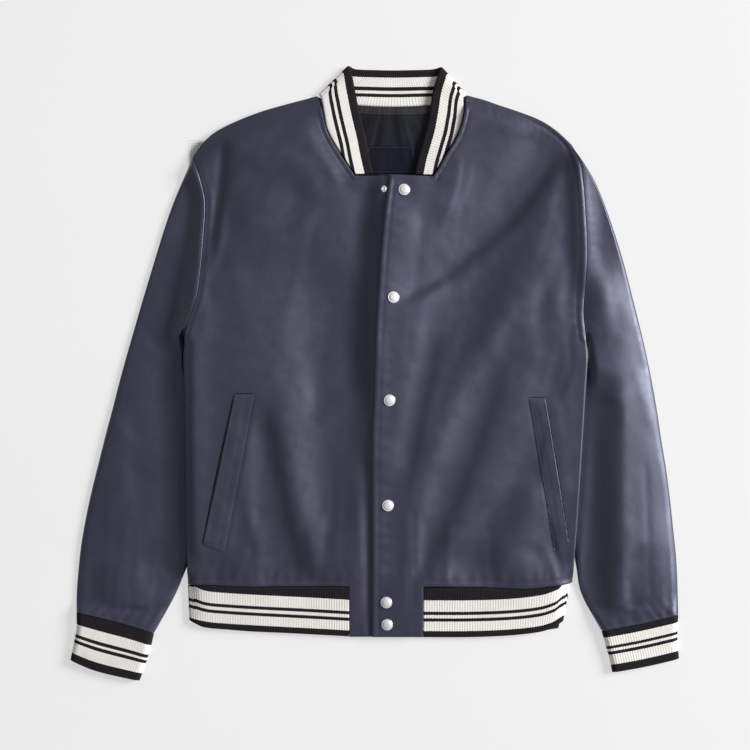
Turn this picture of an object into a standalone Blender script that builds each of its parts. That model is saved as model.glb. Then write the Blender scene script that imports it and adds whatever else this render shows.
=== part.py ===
"""Varsity jacket laid flat: satin body and sleeves, striped rib trims, snap front.

Standalone Blender script. Sizes are in millimetres and become metres as each mesh is
written. X runs across the jacket (the wearer's right is at -X), Y from hem to collar,
Z up from the surface that it lies on.
"""

import math
from collections import namedtuple

import bmesh
import bpy
from mathutils import Vector
from mathutils.bvhtree import BVHTree

for old in list(bpy.data.objects):
    bpy.data.objects.remove(old, do_unlink=True)

# ---------------------------------------------------------------- driving sizes, mm
MM = 0.001
GAP = 0.3  # clearance at a seam
CLOTH = 2.2  # satin with its lining
RIB_WALL = 2.6  # knitted rib, folded double
LINING_WALL = 1.2
RIB_PITCH = 3.3
RIB_RISE = 0.55

TORSO_TOP = 15.5  # height of the fronts where nothing folds them
HEM_TOP = 8.0  # height of the fronts along the bottom edge
SLEEVE_TOP = {"right": 7.8, "left": 13.5}  # height along a sleeve where nothing folds it
SLEEVE_EDGE = {"right": 5.3, "left": 6.0}  # and at its outer edge
SLEEVE_ROLL = {"right": 36.0, "left": 50.0}  # over this width
CUFF_TOP = 12.0
TUCK_TOP = {"right": 9.5, "left": 7.0}  # sleeve pressed flat under the torso's side
TUCK_CLEAR = {"right": 10.0, "left": 7.5}  # underside of the back over that sleeve
TUCK_DIP = {"right": 4.2, "left": 0.0}  # how far a sleeve falls as it comes out from under it
TUCK_RISE = {"right": 0.0, "left": 0.22}  # how it climbs away from the side
TUCK_FREE = {"right": (12, 40), "left": (-45, 75)}  # y where it starts to come free of the side, and over how much
SHOULDER_LIFT = 2.6  # the back's shoulder edge rolls up by this
EDGE_ROLL = 30.0  # width over which the fronts fall to a shoulder
SIDE_ROLL_QUICK = {"right": 2.2, "left": 1.4}  # how much quicker they fall to a side
TAB_X = (-34.0, 62.0)  # where the rib stops and the front runs on to the hem

CENTRE = (-1.0, 1.2)  # middle of the outline, moved to the origin as each mesh is written

P = namedtuple("P", "x y")
Section = namedtuple("Section", "outer_x outer_y inner_x inner_y")
Band = namedtuple("Band", "seam_x seam_y edge_x edge_y")
Fold = namedtuple("Fold", "x0 y0 x1 y1 wide high")
Flank = namedtuple("Flank", "x0 y0 x1 y1 bow wide drop fade0 fade1")
Welt = namedtuple("Welt", "side mouth_x0 mouth_y0 mouth_x1 mouth_y1 in_x0 in_y0 in_x1 in_y1")

# torso outline, hem to shoulder, per side
SIDE = {
    "right": [P(-244, -273), P(-245, -216), P(-246, -138), P(-247.5, -34), P(-249, 20), P(-247, 47)],
    "left": [P(256, -271), P(258, -243), P(262, -190), P(267, -115), P(272, -32), P(275, 20), P(273, 47)],
}
ARMHOLE = {
    "right": [P(-247, 47), P(-242.5, 66), P(-231.5, 97), P(-226, 138), P(-222, 190), P(-221, 225), P(-228, 256), P(-237, 283)],
    "left": [P(273, 47), P(270, 79), P(272, 114), P(274, 162), P(272, 205), P(269, 245), P(264, 276), P(255, 298)],
}
SHOULDER = {
    "right": [P(-237, 283), P(-222, 303), P(-206, 316), P(-180, 329), P(-149, 341), P(-118, 350), P(-76, 361)],
    "left": [P(255, 298), P(237, 315), P(216, 329), P(189, 340), P(159, 350), P(139, 357), P(118, 362)],
}
NECK_FRONT = {
    "right": [P(-76, 361), P(-69, 341), P(-64, 318), P(-57, 303), P(-48, 288), P(-38, 273), P(-27, 257)],
    "left": [P(118, 362), P(116, 341), P(110, 317), P(102, 300), P(93, 286), P(84, 270), P(75, 256)],
}
NECK_BACK = [P(-76, 361), P(-53, 353), P(-24, 349), P(19, 347), P(71, 349), P(97, 354), P(118, 362)]
LEAD = {  # leading edges, hem to top; the right one lies hidden under the left
    "right": [P(36, -281), P(34, -164), P(34, -34), P(37, 96), P(40, 200), P(42, 256)],
    "left": [P(-4, -281), P(-4, -216), P(-4, -81), P(-2, -32), P(1, 60), P(4, 109), P(8, 166), P(13, 215), P(19, 258)],
}
HEM_LINE = {
    "right": [P(-244, -273), P(-208, -274), P(-163, -275.4), P(-100, -275.2), P(-34, -275.5), P(36, -281)],
    "left": [P(-4, -281), P(62, -275.8), P(125, -276.2), P(195, -278), P(230, -275), P(256, -271)],
}

# sleeves, a row for each section from underarm to cuff seam
SLEEVE = {
    "right": [
        Section(-237, 283, -247, 47), Section(-266, 215, -250, 26), Section(-296, 120, -249, 4),
        Section(-318, 45, -241, -18), Section(-332, -5, -229, -42), Section(-342, -44, -217, -68),
        Section(-351, -78, -209, -98), Section(-359, -110, -207, -130), Section(-368, -146, -212, -163),
        Section(-376, -182, -223, -197), Section(-383, -222, -237, -232), Section(-387, -258, -249, -260),
        Section(-389, -285, -262, -290), Section(-389, -309, -288, -337),
    ],
    "left": [
        Section(255, 298, 273, 47), Section(287, 246, 276, 27), Section(316, 168, 274.5, 5),
        Section(337, 90, 267, -20), Section(352, 28, 256, -45), Section(361, -17, 244, -70),
        Section(367, -52, 236, -98), Section(372, -86, 234, -128), Section(378, -122, 239, -160),
        Section(383, -160, 248, -192), Section(387, -198, 256, -222), Section(391, -236, 261, -250),
        Section(393, -275, 268, -286), Section(394, -313, 294, -334),
    ],
}
# cuffs, from seam to open end; the end's own bow is a table of its own
CUFF = {
    "right": [Section(-389, -309, -288, -337), Section(-389, -330, -293, -358), Section(-393, -352, -300, -380), Section(-397, -372, -307, -399)],
    "left": [Section(394, -313, 294, -334), Section(393, -332, 299, -352), Section(393, -350, 304, -369), Section(395, -370, 308, -388)],
}
CUFF_BOW = {  # (share of the width from the inner side, mm further out) at seam and end
    "right": ((0.35, -1.5), (0.62, 3.5)),
    "left": ((0.45, 1.0), (0.5, 1.0)),
}

# hem rib, centre front to side, and the back half from side to side
HEM_BAND = {
    "right": [Band(-34, -275.8, -34, -341), Band(-90, -275.5, -90, -338), Band(-145, -275.8, -145, -335), Band(-195, -274.9, -194, -332), Band(-226, -274, -223, -329)],
    "left": [Band(62, -276.1, 62, -342), Band(120, -276.5, 120, -342), Band(172, -277.9, 171, -340), Band(212, -277.6, 209, -336), Band(238, -274.3, 228, -331)],
}
HEM_TURN = {"right": Band(-244, -274, -242, -321), "left": Band(254, -272, 244, -322)}
HEM_BACK_Y = ((-150, -278, -336), (0, -280, -340), (150, -279, -340))  # x, seam y, edge y

# collar, a row for each station: neck seam, free edge, heights of its middle
Collar = namedtuple("Collar", "seam_x seam_y edge_x edge_y seam_z edge_z")
COLLAR_FRONT = {
    "right": [
        Collar(-26.5, 259, -3, 260, 13.2, 12.6), Collar(-37.5, 274.5, -8.5, 284, 12.6, 11.0),
        Collar(-47.5, 289.5, -13, 307, 12.0, 10.0), Collar(-56.5, 304.5, -18, 328, 11.0, 9.2),
        Collar(-63.5, 319.5, -22.5, 348, 10.0, 8.4), Collar(-67.5, 341.5, -27, 371, 8.6, 7.8),
        Collar(-70.5, 358, -31.5, 394, 7.4, 7.2),
    ],
    "left": [
        Collar(74.5, 258.5, 51, 259, 13.8, 13.0), Collar(83.5, 272, 55, 279, 13.0, 11.6),
        Collar(92.5, 288, 61, 300, 12.2, 10.4), Collar(101.5, 302, 66.5, 320, 11.2, 9.4),
        Collar(109.5, 319, 70.5, 342, 10.2, 8.6), Collar(114.5, 341, 75, 369, 8.8, 8.0),
        Collar(114, 359, 82.5, 393, 7.6, 7.4),
    ],
}
COLLAR_TURN = {"right": Collar(-73, 363, -34.5, 400.5, 4.6, 4.6), "left": Collar(117, 364.5, 85, 399, 4.6, 4.6)}
COLLAR_BACK = [
    Collar(-66, 359.5, -28, 397.5, 1.9, 1.9), Collar(-50, 353.8, -19, 396.5, 1.35, 1.35), Collar(-22, 349.6, -3, 396, 1.3, 1.3),
    Collar(20, 347.6, 24, 395.5, 1.3, 1.3), Collar(68, 349.6, 52, 396, 1.3, 1.3), Collar(92, 353.6, 70, 396.5, 1.35, 1.35),
    Collar(110, 360, 78, 397.5, 1.9, 1.9),
]

# Flanks of the largest folds: the cloth falls by drop across a line that bows towards its left hand,
# and the step dies away on both sides and fades in and out over these shares of the line.
FRONT_FLANKS = [
    Flank(-82, 364, -103, -310, 40, 57.9, 2.4, 0.12, 0.12), Flank(115, 371, 131, -268, 11.8, 73.8, 3.2, 0.12, 0.12),
    Flank(-116, 274, -74, -235, -19.2, 25.3, 3.3, 0.25, 0.15), Flank(-89, 155, -88, -84, -3.1, 15.3, 1.7, 0.3, 0.3),
    Flank(-143, -22, -88, -274, -3.9, 10.8, -4.1, 0.2, 0.12), Flank(-147, -30, -138, -262, -15.9, 12.6, 1.9, 0.2, 0.12),
    Flank(-186, -154, -193, -244, 3.1, 10.4, 1.6, 0.3, 0.3), Flank(-31, 149, -40, -235, 24.1, 18.3, -3.2, 0.2, 0.15),
    Flank(-20, -78, -16, -340, 4, 11.7, 2.9, 0.25, 0.12), Flank(5, 280, -8, -83, -8, 10.4, -5.6, 0.15, 0.3),
    Flank(-157, 287, -77, 205, 16.8, 15.3, -3.1, 0.25, 0.3), Flank(-170, 314, -188, 156, 7.5, 20.2, -4.3, 0.3, 0.3),
    Flank(-172, 171, -159, -60, 3.3, 43, 5.6, 0.3, 0.3), Flank(-253, 77, -242, -250, -3.9, 10.3, -4.3, 0.2, 0.12),
    Flank(-179, -238, -134, -276, -0.6, 12.3, 2, 0.3, 0.2), Flank(-218, 123, -209, 30, -1.8, 15.2, 1.9, 0.3, 0.3),
    Flank(264, 314, 122, 13, -4.9, 25, -5.2, 0.12, 0.2), Flank(250, 303, 105, 136, 15.6, 9, -3.8, 0.25, 0.2),
    Flank(254, 318, 263, 90, -2.2, 8.7, -3.7, 0.12, 0.25), Flank(224, 122, 226, 20, -3.8, 10.3, -1.5, 0.3, 0.3),
    Flank(214, 136, 207, -47, -0.2, 21.5, 3.3, 0.2, 0.2), Flank(252, 89, 268, -235, 0.3, 9.6, 1.5, 0.2, 0.15),
    Flank(215, 338, 45, 115, 9.4, 22, 2.5, 0.15, 0.2), Flank(61, 237, 28, 91, 0.4, 18.5, 2.5, 0.3, 0.3),
    Flank(68, 110, 23, -157, -1, 11.9, 2.1, 0.2, 0.2), Flank(139, 76, 48, -143, -0.4, 18.8, -2.4, 0.2, 0.2),
    Flank(183, 74, 55, -274, -30.4, 15.1, 3, 0.15, 0.12), Flank(174, 27, 52, -284, 8.9, 11.4, -3, 0.2, 0.12),
    Flank(214, -53, 84, -257, 6.8, 15.4, 2.2, 0.2, 0.2), Flank(204, -123, 145, -290, -4.1, 18.9, -3.5, 0.2, 0.2),
    Flank(218, -130, 176, -263, 13.7, 22.9, 4.8, 0.25, 0.25), Flank(166, -268, 262, -256, 22, 13, 2.5, 0.25, 0.2),
    Flank(196, 99, 149, 20, -3.4, 9.2, 1.4, 0.3, 0.3), Flank(6, 90, 16, -284, 0.1, 13.9, 1.9, 0.12, 0.12),
]
SLEEVE_FLANKS = {
    "right": [
        Flank(-255, 271, -300, -10, -4, 42, -5, 0.12, 0.3), Flank(-226, 269, -274, -6, -2.1, 18.9, -6.9, 0.15, 0.25),
        Flank(-324, -24, -295, -297, -6.5, 11.5, 1.5, 0.2, 0.12), Flank(-281, -198, -242, -282, -4.2, 12.7, -4.9, 0.3, 0.2),
        Flank(-272, -248, -291, -313, 10.6, 12.3, 1.7, 0.2, 0.12), Flank(-351, -241, -348, -308, -8.2, 18.4, -4.1, 0.3, 0.12),
    ],
    "left": [
        Flank(244, 250, 383, -292, -3.6, 54.7, 1.5, 0.12, 0.12), Flank(290, 142, 260, -18, -7.6, 17.7, -4.8, 0.3, 0.2),
        Flank(304, 9, 306, -339, -6.2, 16.3, -6.9, 0.12, 0.12), Flank(322, 4, 346, -309, -9.6, 13.1, 1.9, 0.12, 0.12),
        Flank(304, -198, 374, -315, -5, 23.7, -3, 0.3, 0.25), Flank(331, -215, 324, -309, -5.1, 10.2, 3, 0.3, 0.12),
    ],
}

WELTS = [
    Welt("right", -182, -26, -223, -221, -157, -26, -195, -231),
    Welt("left", 220, -31, 251, -219, 198, -31, 232, -231),
]
CAPS = [P(37, 238), P(23, 99), P(18, -34), P(16, -170), P(14, -296), P(15, -325)]
STUD = P(11, 239)
LABEL_AT, LABEL_SIZE = P(19.5, 278.5), (61.0, 35.0)
LINING_FOLDS = [
    Fold(20 + 6 * k, 342, 20 + 22 * k + sway, 240 + 9 * abs(k), 4 + abs(k), high)
    for k, sway, high in ((-3, 5, 0.9), (-2, -4, 0.6), (-1, 6, 1.0), (0, -3, 0.5), (1, 4, 0.9), (2, -6, 1.1), (3, 2, 0.7))
]

CLOTH_NAVY = (0.052, 0.056, 0.085, 1)
LINING_NAVY = (0.02, 0.02, 0.033, 1)
RIB_CREAM = (0.83, 0.8, 0.76, 1)
SILVER = (0.75, 0.75, 0.77, 1)


# ---------------------------------------------------------------- curves and patches
def smooth(k):
    k = min(max(k, 0.0), 1.0)
    return k * k * (3 - 2 * k)


def rise(k):
    """0 at an edge, 1 past its roll, steepest at the edge."""
    k = min(max(k, 0.0), 1.0)
    return 1 - (1 - k) ** 2


def curve(rows):
    """A smooth curve through the rows, read by share of its length."""
    pts = [Vector(row) for row in rows]
    run = [0.0]
    for a, b in zip(pts, pts[1:]):
        run.append(run[-1] + (b - a).length)
    knot = [r / run[-1] for r in run]
    last = len(pts) - 1

    def slope(j):
        a, b = max(j - 1, 0), min(j + 1, last)
        return (pts[b] - pts[a]) / (knot[b] - knot[a])

    def at(t):
        t = min(max(t, 0.0), 1.0)
        i = 0
        while i < last - 1 and knot[i + 1] <= t:
            i += 1
        span = knot[i + 1] - knot[i]
        k = (t - knot[i]) / span
        a, b = slope(i) * span, slope(i + 1) * span
        return (
            pts[i] * (2 * k**3 - 3 * k**2 + 1)
            + a * (k**3 - 2 * k**2 + k)
            + pts[i + 1] * (3 * k**2 - 2 * k**3)
            + b * (k**3 - k**2)
        )

    return at


def chain(*parts):
    """Curves end to end; each part is (share where it ends, curve)."""

    def at(t):
        start = 0.0
        for end, part in parts:
            if t <= end + 1e-9:
                return part((t - start) / (end - start))
            start = end
        return parts[-1][1](1.0)

    return at


def flip(part):
    return lambda t: part(1 - t)


def patch(bottom, top, left, right):
    """Points between four boundary curves (Coons)."""
    a, b, c, d = bottom(0), bottom(1), top(0), top(1)

    def at(u, v):
        return (
            bottom(u) * (1 - v) + top(u) * v + left(v) * (1 - u) + right(v) * u
            - a * (1 - u) * (1 - v) - b * u * (1 - v) - c * (1 - u) * v - d * u * v
        )

    return at


def polyline(at, n=24):
    return [at(i / n) for i in range(n + 1)]


def away(x, y, line):
    """Distance from a point to a polyline."""
    best = 1e9
    for a, b in zip(line, line[1:]):
        dx, dy = b[0] - a[0], b[1] - a[1]
        k = ((x - a[0]) * dx + (y - a[1]) * dy) / (dx * dx + dy * dy)
        k = min(max(k, 0.0), 1.0)
        best = min(best, math.hypot(x - a[0] - k * dx, y - a[1] - k * dy))
    return best


def folded(x, y, rows):
    total = 0.0
    for f in rows:
        d = away(x, y, ((f.x0, f.y0), (f.x1, f.y1)))
        if d < 3 * f.wide:
            total += f.high * math.exp(-((d / f.wide) ** 2))
    return total


def flanked(x, y, rows):
    """Height that flanks add."""
    total = 0.0
    for f in rows:
        span = math.hypot(f.x1 - f.x0, f.y1 - f.y0)
        ax, ay = (f.x1 - f.x0) / span, (f.y1 - f.y0) / span
        t = ((x - f.x0) * ax + (y - f.y0) * ay) / span
        if 0 < t < 1:
            d = (ax * (y - f.y0) - ay * (x - f.x0) - f.bow * 4 * t * (1 - t)) / f.wide
            total -= f.drop * math.tanh(d) * math.exp(-((d / 3.5) ** 2)) * smooth(t / f.fade0) * smooth((1 - t) / f.fade1)
    return total


def lesser(a, b, soft=1.0):
    """The smaller of two heights, rounded where they cross."""
    low, high = min(a, b), max(a, b)
    return low - soft * math.log1p(math.exp((low - high) / soft))


# ---------------------------------------------------------------- heights
SIDES = ("right", "left")
SIGN = {"right": -1, "left": 1}
side_line = {s: polyline(curve(SIDE[s])) for s in SIDES}
arm_line = {s: polyline(curve(ARMHOLE[s])) for s in SIDES}
shoulder_line = {s: polyline(curve(SHOULDER[s])) for s in SIDES}
neck_line = {s: polyline(curve(NECK_FRONT[s])) for s in SIDES}
rails = {s: curve(SLEEVE[s]) for s in SIDES}  # both edges at once, so that each row stays a section
outer_line = {s: [Vector(p[:2]) for p in polyline(rails[s], 48)] for s in SIDES}
inner_line = {s: [Vector(p[2:]) for p in polyline(rails[s], 48)] for s in SIDES}


def crossing(line, y):
    """x of a line that runs up or down the garment, at y."""
    for a, b in zip(line, line[1:]):
        if min(a[1], b[1]) <= y <= max(a[1], b[1]) and a[1] != b[1]:
            return a[0] + (b[0] - a[0]) * (y - a[1]) / (b[1] - a[1])
    return line[0][0] if abs(y - line[0][1]) < abs(y - line[-1][1]) else line[-1][0]


def past_tuck(x, y, s):
    """How far a point lies from the stretch of sleeve tucked under this side."""
    line = inner_line[s]
    if -250 <= y <= 47 and (x - crossing(line, y)) * SIGN[s] >= 0:
        return 0.0
    return away(x, y, [p for p in line if -250 <= p[1]])


def back_under(x, y):
    """Underside of the back: on the surface, over the tucked sleeves, rolled up at the shoulders."""
    tuck = max(TUCK_CLEAR[s] * (1 - smooth((past_tuck(x, y, s) - 16) / 18)) for s in SIDES)
    tuck *= smooth((y + 272) / 20)
    roll = max(1 - rise(away(x, y, shoulder_line[s]) / 13) for s in SIDES)
    return max(tuck, SHOULDER_LIFT * roll)


def front_top(x, y):
    """Outer surface of the fronts, and of the sleeves where they meet them."""
    edge = back_under(x, y) + 2.3 * CLOTH + 1.5 * GAP
    neck = min(away(x, y, neck_line[s]) for s in SIDES)
    full = HEM_TOP + (TORSO_TOP - HEM_TOP) * smooth((y + 348) / 110)
    full += flanked(x, y, FRONT_FLANKS) * smooth(neck / 26) * smooth((y + 362) / 90)
    full = -lesser(-full, -edge + 0.5)
    roll = min(away(x, y, shoulder_line[s]) for s in SIDES)
    s = "right" if x < 0 else "left"
    if y < 60:
        roll = min(roll, SIDE_ROLL_QUICK[s] * away(x, y, side_line[s]) + max(0.0, y - 40) * 2)
    k = rise(roll / EDGE_ROLL)
    return edge + (full - edge) * k


def overlap_lift(x, y):
    """How far the left front stands above the right one, higher along the upper placket."""
    more = 2.2 * smooth((y + 40) / 100) * smooth((246 - y) / 60)
    return (CLOTH + 1.0) * (1 - smooth((x - 46) / 90)) + more * (1 - smooth((x - 10) / 110))


def sleeve_top(s, x, y, share):
    """Outer surface of a sleeve; share runs 0 at the armhole to 1 at the cuff."""
    edge = SLEEVE_EDGE[s] + (9 * smooth((y - 90) / 110) if s == "left" else 0.0)
    arm = away(x, y, arm_line[s])
    full = edge + (SLEEVE_TOP[s] - edge) * rise(away(x, y, outer_line[s]) / SLEEVE_ROLL[s])
    k = smooth(arm / 34)
    level = max(y, 47)
    at_seam = flanked(crossing(arm_line[s], level), level, SLEEVE_FLANKS[s])
    relief = flanked(x, y, SLEEVE_FLANKS[s]) - at_seam * (1 - smooth(arm / 55))
    free = front_top(x, y) * (1 - k) + full * k + relief
    free += (CUFF_TOP - free) * smooth((share - 0.93) / 0.07)
    free = -lesser(-free, -5.2)
    out = (x - crossing(side_line[s], min(y, 47))) * SIGN[s]
    start, reach = TUCK_FREE[s]
    climb = TUCK_RISE[s] + 1.2 * smooth((y - start) / reach)
    low = TUCK_TOP[s] - TUCK_DIP[s] * smooth((out + 1) / 34)
    low += climb * max(0.0, out - 2) + 0.02 * max(0.0, out - 20) ** 1.5
    low += 0.9 * max(0.0, y - 47) + 0.8 * max(0.0, -258 - y)
    return lesser(free, low, 1.2)


# ---------------------------------------------------------------- solids
def material(name, colour, rough, metal=0.0):
    mat = bpy.data.materials.new(name)
    mat.use_nodes = True
    bsdf = mat.node_tree.nodes["Principled BSDF"]
    bsdf.inputs["Base Color"].default_value = colour
    bsdf.inputs["Roughness"].default_value = rough
    bsdf.inputs["Metallic"].default_value = metal
    mat.diffuse_color = colour
    return mat


def finish(name, bm, colour, rough, metal=0.0):
    bmesh.ops.recalc_face_normals(bm, faces=bm.faces)
    bmesh.ops.translate(bm, vec=(-CENTRE[0], -CENTRE[1], 0), verts=bm.verts)
    bmesh.ops.scale(bm, vec=(MM, MM, MM), verts=bm.verts)
    mesh = bpy.data.meshes.new(name)
    bm.to_mesh(mesh)
    bm.free()
    obj = bpy.data.objects.new(name, mesh)
    obj.data.materials.append(material(name + "_mat", colour, rough, metal))
    bpy.context.scene.collection.objects.link(obj)
    return obj


def zip_rim(bm, a, b, closed=False):
    """Triangles between two rows of (share, vert) that run the same way."""
    if closed:
        a, b = a + [(1.0, a[0][1])], b + [(1.0, b[0][1])]
    i = j = 0
    while i < len(a) - 1 or j < len(b) - 1:
        if j == len(b) - 1 or (i < len(a) - 1 and a[i][0] + a[i + 1][0] <= b[j][0] + b[j + 1][0]):
            bm.faces.new((a[i][1], a[i + 1][1], b[j][1]))
            i += 1
        else:
            bm.faces.new((a[i][1], b[j + 1][1], b[j][1]))
            j += 1


def cell_faces(bm, skin, ring, over):
    """Two triangles over a cell, split along its flatter, or else its shorter diagonal, and its other skin the same way."""
    a, b, c, d = ring

    def slant(p, q):
        across = over[p].co - over[q].co
        return round(abs(across.z) / 0.4), across.length

    first = slant(a, c) <= slant(b, d)
    for tri in ((a, b, c), (a, c, d)) if first else ((a, b, d), (b, c, d)):
        bm.faces.new([skin[k] for k in (tri if skin is over else reversed(tri))])


def sheet_wall(name, points, cells, top, thick, colour, rough):
    """A wall under a height: points {(i, j): Vector2}, cells [(i, j)] by their low corner."""
    bm = bmesh.new()
    upper = {k: bm.verts.new((p.x, p.y, top(p.x, p.y))) for k, p in points.items()}
    for i, j in cells:
        cell_faces(bm, upper, [(i, j), (i + 1, j), (i + 1, j + 1), (i, j + 1)], upper)
    bm.normal_update()
    lower = {}
    for k, v in upper.items():
        drop = thick / max(abs(v.normal.z), 0.75)
        lower[k] = bm.verts.new((v.co.x, v.co.y, max(v.co.z - drop, 0.0)))
    edge_of = {}
    for i, j in cells:
        ring = [(i, j), (i + 1, j), (i + 1, j + 1), (i, j + 1)]
        cell_faces(bm, lower, ring, upper)
        for a, b in zip(ring, ring[1:] + ring[:1]):
            key = frozenset((a, b))
            edge_of[key] = None if key in edge_of else (a, b)
    for pair in edge_of.values():
        if pair:
            a, b = pair
            bm.faces.new([upper[b], upper[a], lower[a], lower[b]])
    return finish(name, bm, colour, rough)


def tube_wall(name, rings_out, rings_in, shares_out, shares_in, colour, rough):
    """A closed tube wall from outer and inner rings that share their ends."""
    bm = bmesh.new()
    out = [[bm.verts.new(p) for p in ring] for ring in rings_out]
    inn = [[bm.verts.new(p) for p in ring] for ring in rings_in]
    for skin in (out, inn):
        n = len(skin[0])
        for a, b in zip(skin, skin[1:]):
            for k in range(n):
                quad = dict(zip("abcd", (a[k], a[(k + 1) % n], b[(k + 1) % n], b[k])))
                cell_faces(bm, quad, "abcd", quad)
    for end in (0, -1):
        zip_rim(bm, list(zip(shares_out, out[end])), list(zip(shares_in, inn[end])), closed=True)
    return finish(name, bm, colour, rough)


def band_wall(name, middle, rows, face_a, face_b, wall, ribs_a, ribs_b, colour, rough):
    """A band wall on both sides of middle(s, h); face_a and face_b are their own columns."""

    def at(s, h, side, rib):
        e = 1e-3
        p = middle(s, h)
        along = middle(min(s + e, 1), h) - middle(max(s - e, 0), h)
        across = middle(s, min(h + e, 1)) - middle(s, max(h - e, 0))
        n = along.cross(across).normalized()
        p += n * side * (wall / 2 + rib)
        return Vector((p.x, p.y, max(p.z, 0.0)))

    bm = bmesh.new()
    skins = []
    for cols, side, ribs in ((face_a, 1, ribs_a), (face_b, -1, ribs_b)):
        skins.append([[bm.verts.new(at(s, h, side, ribs(s, k))) for h in rows] for k, s in enumerate(cols)])
    for skin in skins:
        for a, b in zip(skin, skin[1:]):
            for k in range(len(rows) - 1):
                bm.faces.new([a[k], b[k], b[k + 1], a[k + 1]])
    one, two = skins
    for k in (0, -1):
        zip_rim(bm, [(s, c[k]) for s, c in zip(face_a, one)], [(s, c[k]) for s, c in zip(face_b, two)])
    for k in (0, -1):
        for a, b in zip(range(len(rows) - 1), range(1, len(rows))):
            bm.faces.new([one[k][a], one[k][b], two[k][b], two[k][a]])
    return finish(name, bm, colour, rough)


def drop_on(obj, x, y):
    """Height of a built panel's own faces at a point, in mm."""
    start = Vector(((x - CENTRE[0]) * MM, (y - CENTRE[1]) * MM, 1.0))
    hit = trees[obj.name].ray_cast(start, Vector((0, 0, -1)))
    return None if hit[0] is None else hit[0].z / MM


# ---------------------------------------------------------------- panels
def spread(n, ease=0.0):
    """n + 1 shares from 0 to 1, closer together at the ends as ease goes to 1."""
    return [(1 - ease) * k / n + ease * (1 - math.cos(math.pi * k / n)) / 2 for k in range(n + 1)]


ARM_SHARES = [0, 0.02, 0.07, 0.16, 0.27, 0.39, 0.51, 0.63, 0.75, 0.86, 0.94, 0.982, 1]
ARM_SHARES_BACK = [0, 0.03, 0.12, 0.3, 0.5, 0.7, 0.88, 0.97, 1]
SIDE_ROWS = 14
UNDERARM = 0.58  # share of a front's height at the underarm
NECK_START, NECK_END = 0.42, 0.75  # shares of a front's width from side to centre


def front_panel(s):
    sign = SIGN[s]
    bottom = curve(HEM_LINE[s]) if s == "right" else flip(curve(HEM_LINE[s]))
    corner = LEAD[s][-1]
    neck_low = NECK_FRONT[s][-1]
    top = chain(
        (NECK_START, curve(SHOULDER[s])),
        (NECK_END, curve(NECK_FRONT[s])),
        (1.0, curve([neck_low, corner])),
    )
    side = chain((UNDERARM, curve(SIDE[s])), (1.0, curve(ARMHOLE[s])))
    at = patch(bottom, top, side, curve(LEAD[s]))
    us = [0, 0.022, 0.065, 0.12, 0.18, 0.24, 0.3, 0.36, NECK_START, 0.475, 0.53, 0.585, 0.64, 0.695, NECK_END, 0.81, 0.87, 0.94, 1]
    vs = [UNDERARM * k / SIDE_ROWS for k in range(SIDE_ROWS)]
    vs += [UNDERARM + (1 - UNDERARM) * k for k in ARM_SHARES]
    points, cells = {}, []
    inset = GAP / 2
    for j, v in enumerate(vs):
        for i, u in enumerate(us):
            points[i, j] = at(u, v)
    tab = us.index(NECK_END)
    hem_x = TAB_X[0] if s == "right" else TAB_X[1]
    for i in range(tab, len(us)):  # the tab below the hem line
        k = (us[i] - NECK_END) / (1 - NECK_END)
        for j in range(len(vs)):
            fade = smooth(1 - vs[j] / 0.12)
            want = hem_x + (LEAD[s][0].x - hem_x) * k
            points[i, j].x += (want - points[i, j].x) * fade
        base = points[i, 0]
        for d in (1, 2, 3):
            points[i, -d] = Vector((base.x, base.y + (-341.5 - base.y) * d / 3))
            cells += [(i, -d)] if i < len(us) - 1 else []
    cells += [(i, j) for i in range(len(us) - 1) for j in range(len(vs) - 1)]
    for j in range(len(vs)):  # half the seam's clearance, on the armhole
        if vs[j] > UNDERARM:
            points[0, j].x -= sign * inset
    if s == "left":
        top_at = lambda x, y: front_top(x, y) + overlap_lift(x, y)
    else:
        top_at = front_top
    return sheet_wall(f"front_{s}", points, cells, top_at, CLOTH, CLOTH_NAVY, 0.4)


def back_panel():
    bottom = curve([P(-244, -273), P(-150, -277.4), P(0, -279.4), P(150, -278.4), P(256, -271)])
    top = chain((0.34, curve(SHOULDER["right"])), (0.66, curve(NECK_BACK)), (1.0, flip(curve(SHOULDER["left"]))))
    side = {s: chain((UNDERARM, curve(SIDE[s])), (1.0, curve(ARMHOLE[s]))) for s in SIDES}
    at = patch(bottom, top, side["right"], side["left"])
    us = [0, 0.025, 0.06, 0.1, 0.14, 0.19, 0.26, 0.34, 0.39, 0.44, 0.5, 0.56, 0.61, 0.66, 0.74, 0.81, 0.86, 0.9, 0.94, 0.975, 1]
    vs = [UNDERARM * k / 12 for k in range(12)]
    vs += [UNDERARM + (1 - UNDERARM) * k for k in ARM_SHARES_BACK]
    points = {(i, j): at(u, v) for j, v in enumerate(vs) for i, u in enumerate(us)}
    for j, v in enumerate(vs):
        if v > UNDERARM:
            points[0, j].x += GAP / 2
            points[len(us) - 1, j].x -= GAP / 2
    cells = [(i, j) for i in range(len(us) - 1) for j in range(len(vs) - 1)]
    return sheet_wall("back_panel", points, cells, lambda x, y: back_under(x, y) + CLOTH, CLOTH, CLOTH_NAVY, 0.4)


def tube_heights(top, edge, d_in, d_out):
    """Upper and lower heights at a distance from both edges of a flattened tube."""
    d = min(d_in, d_out)
    up = edge + (top - edge) * math.sqrt(1 - (1 - min(d / 9, 1)) ** 2)
    low = edge * (1 - math.sqrt(1 - (1 - min(d / 5, 1)) ** 2))
    return up, low


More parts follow.
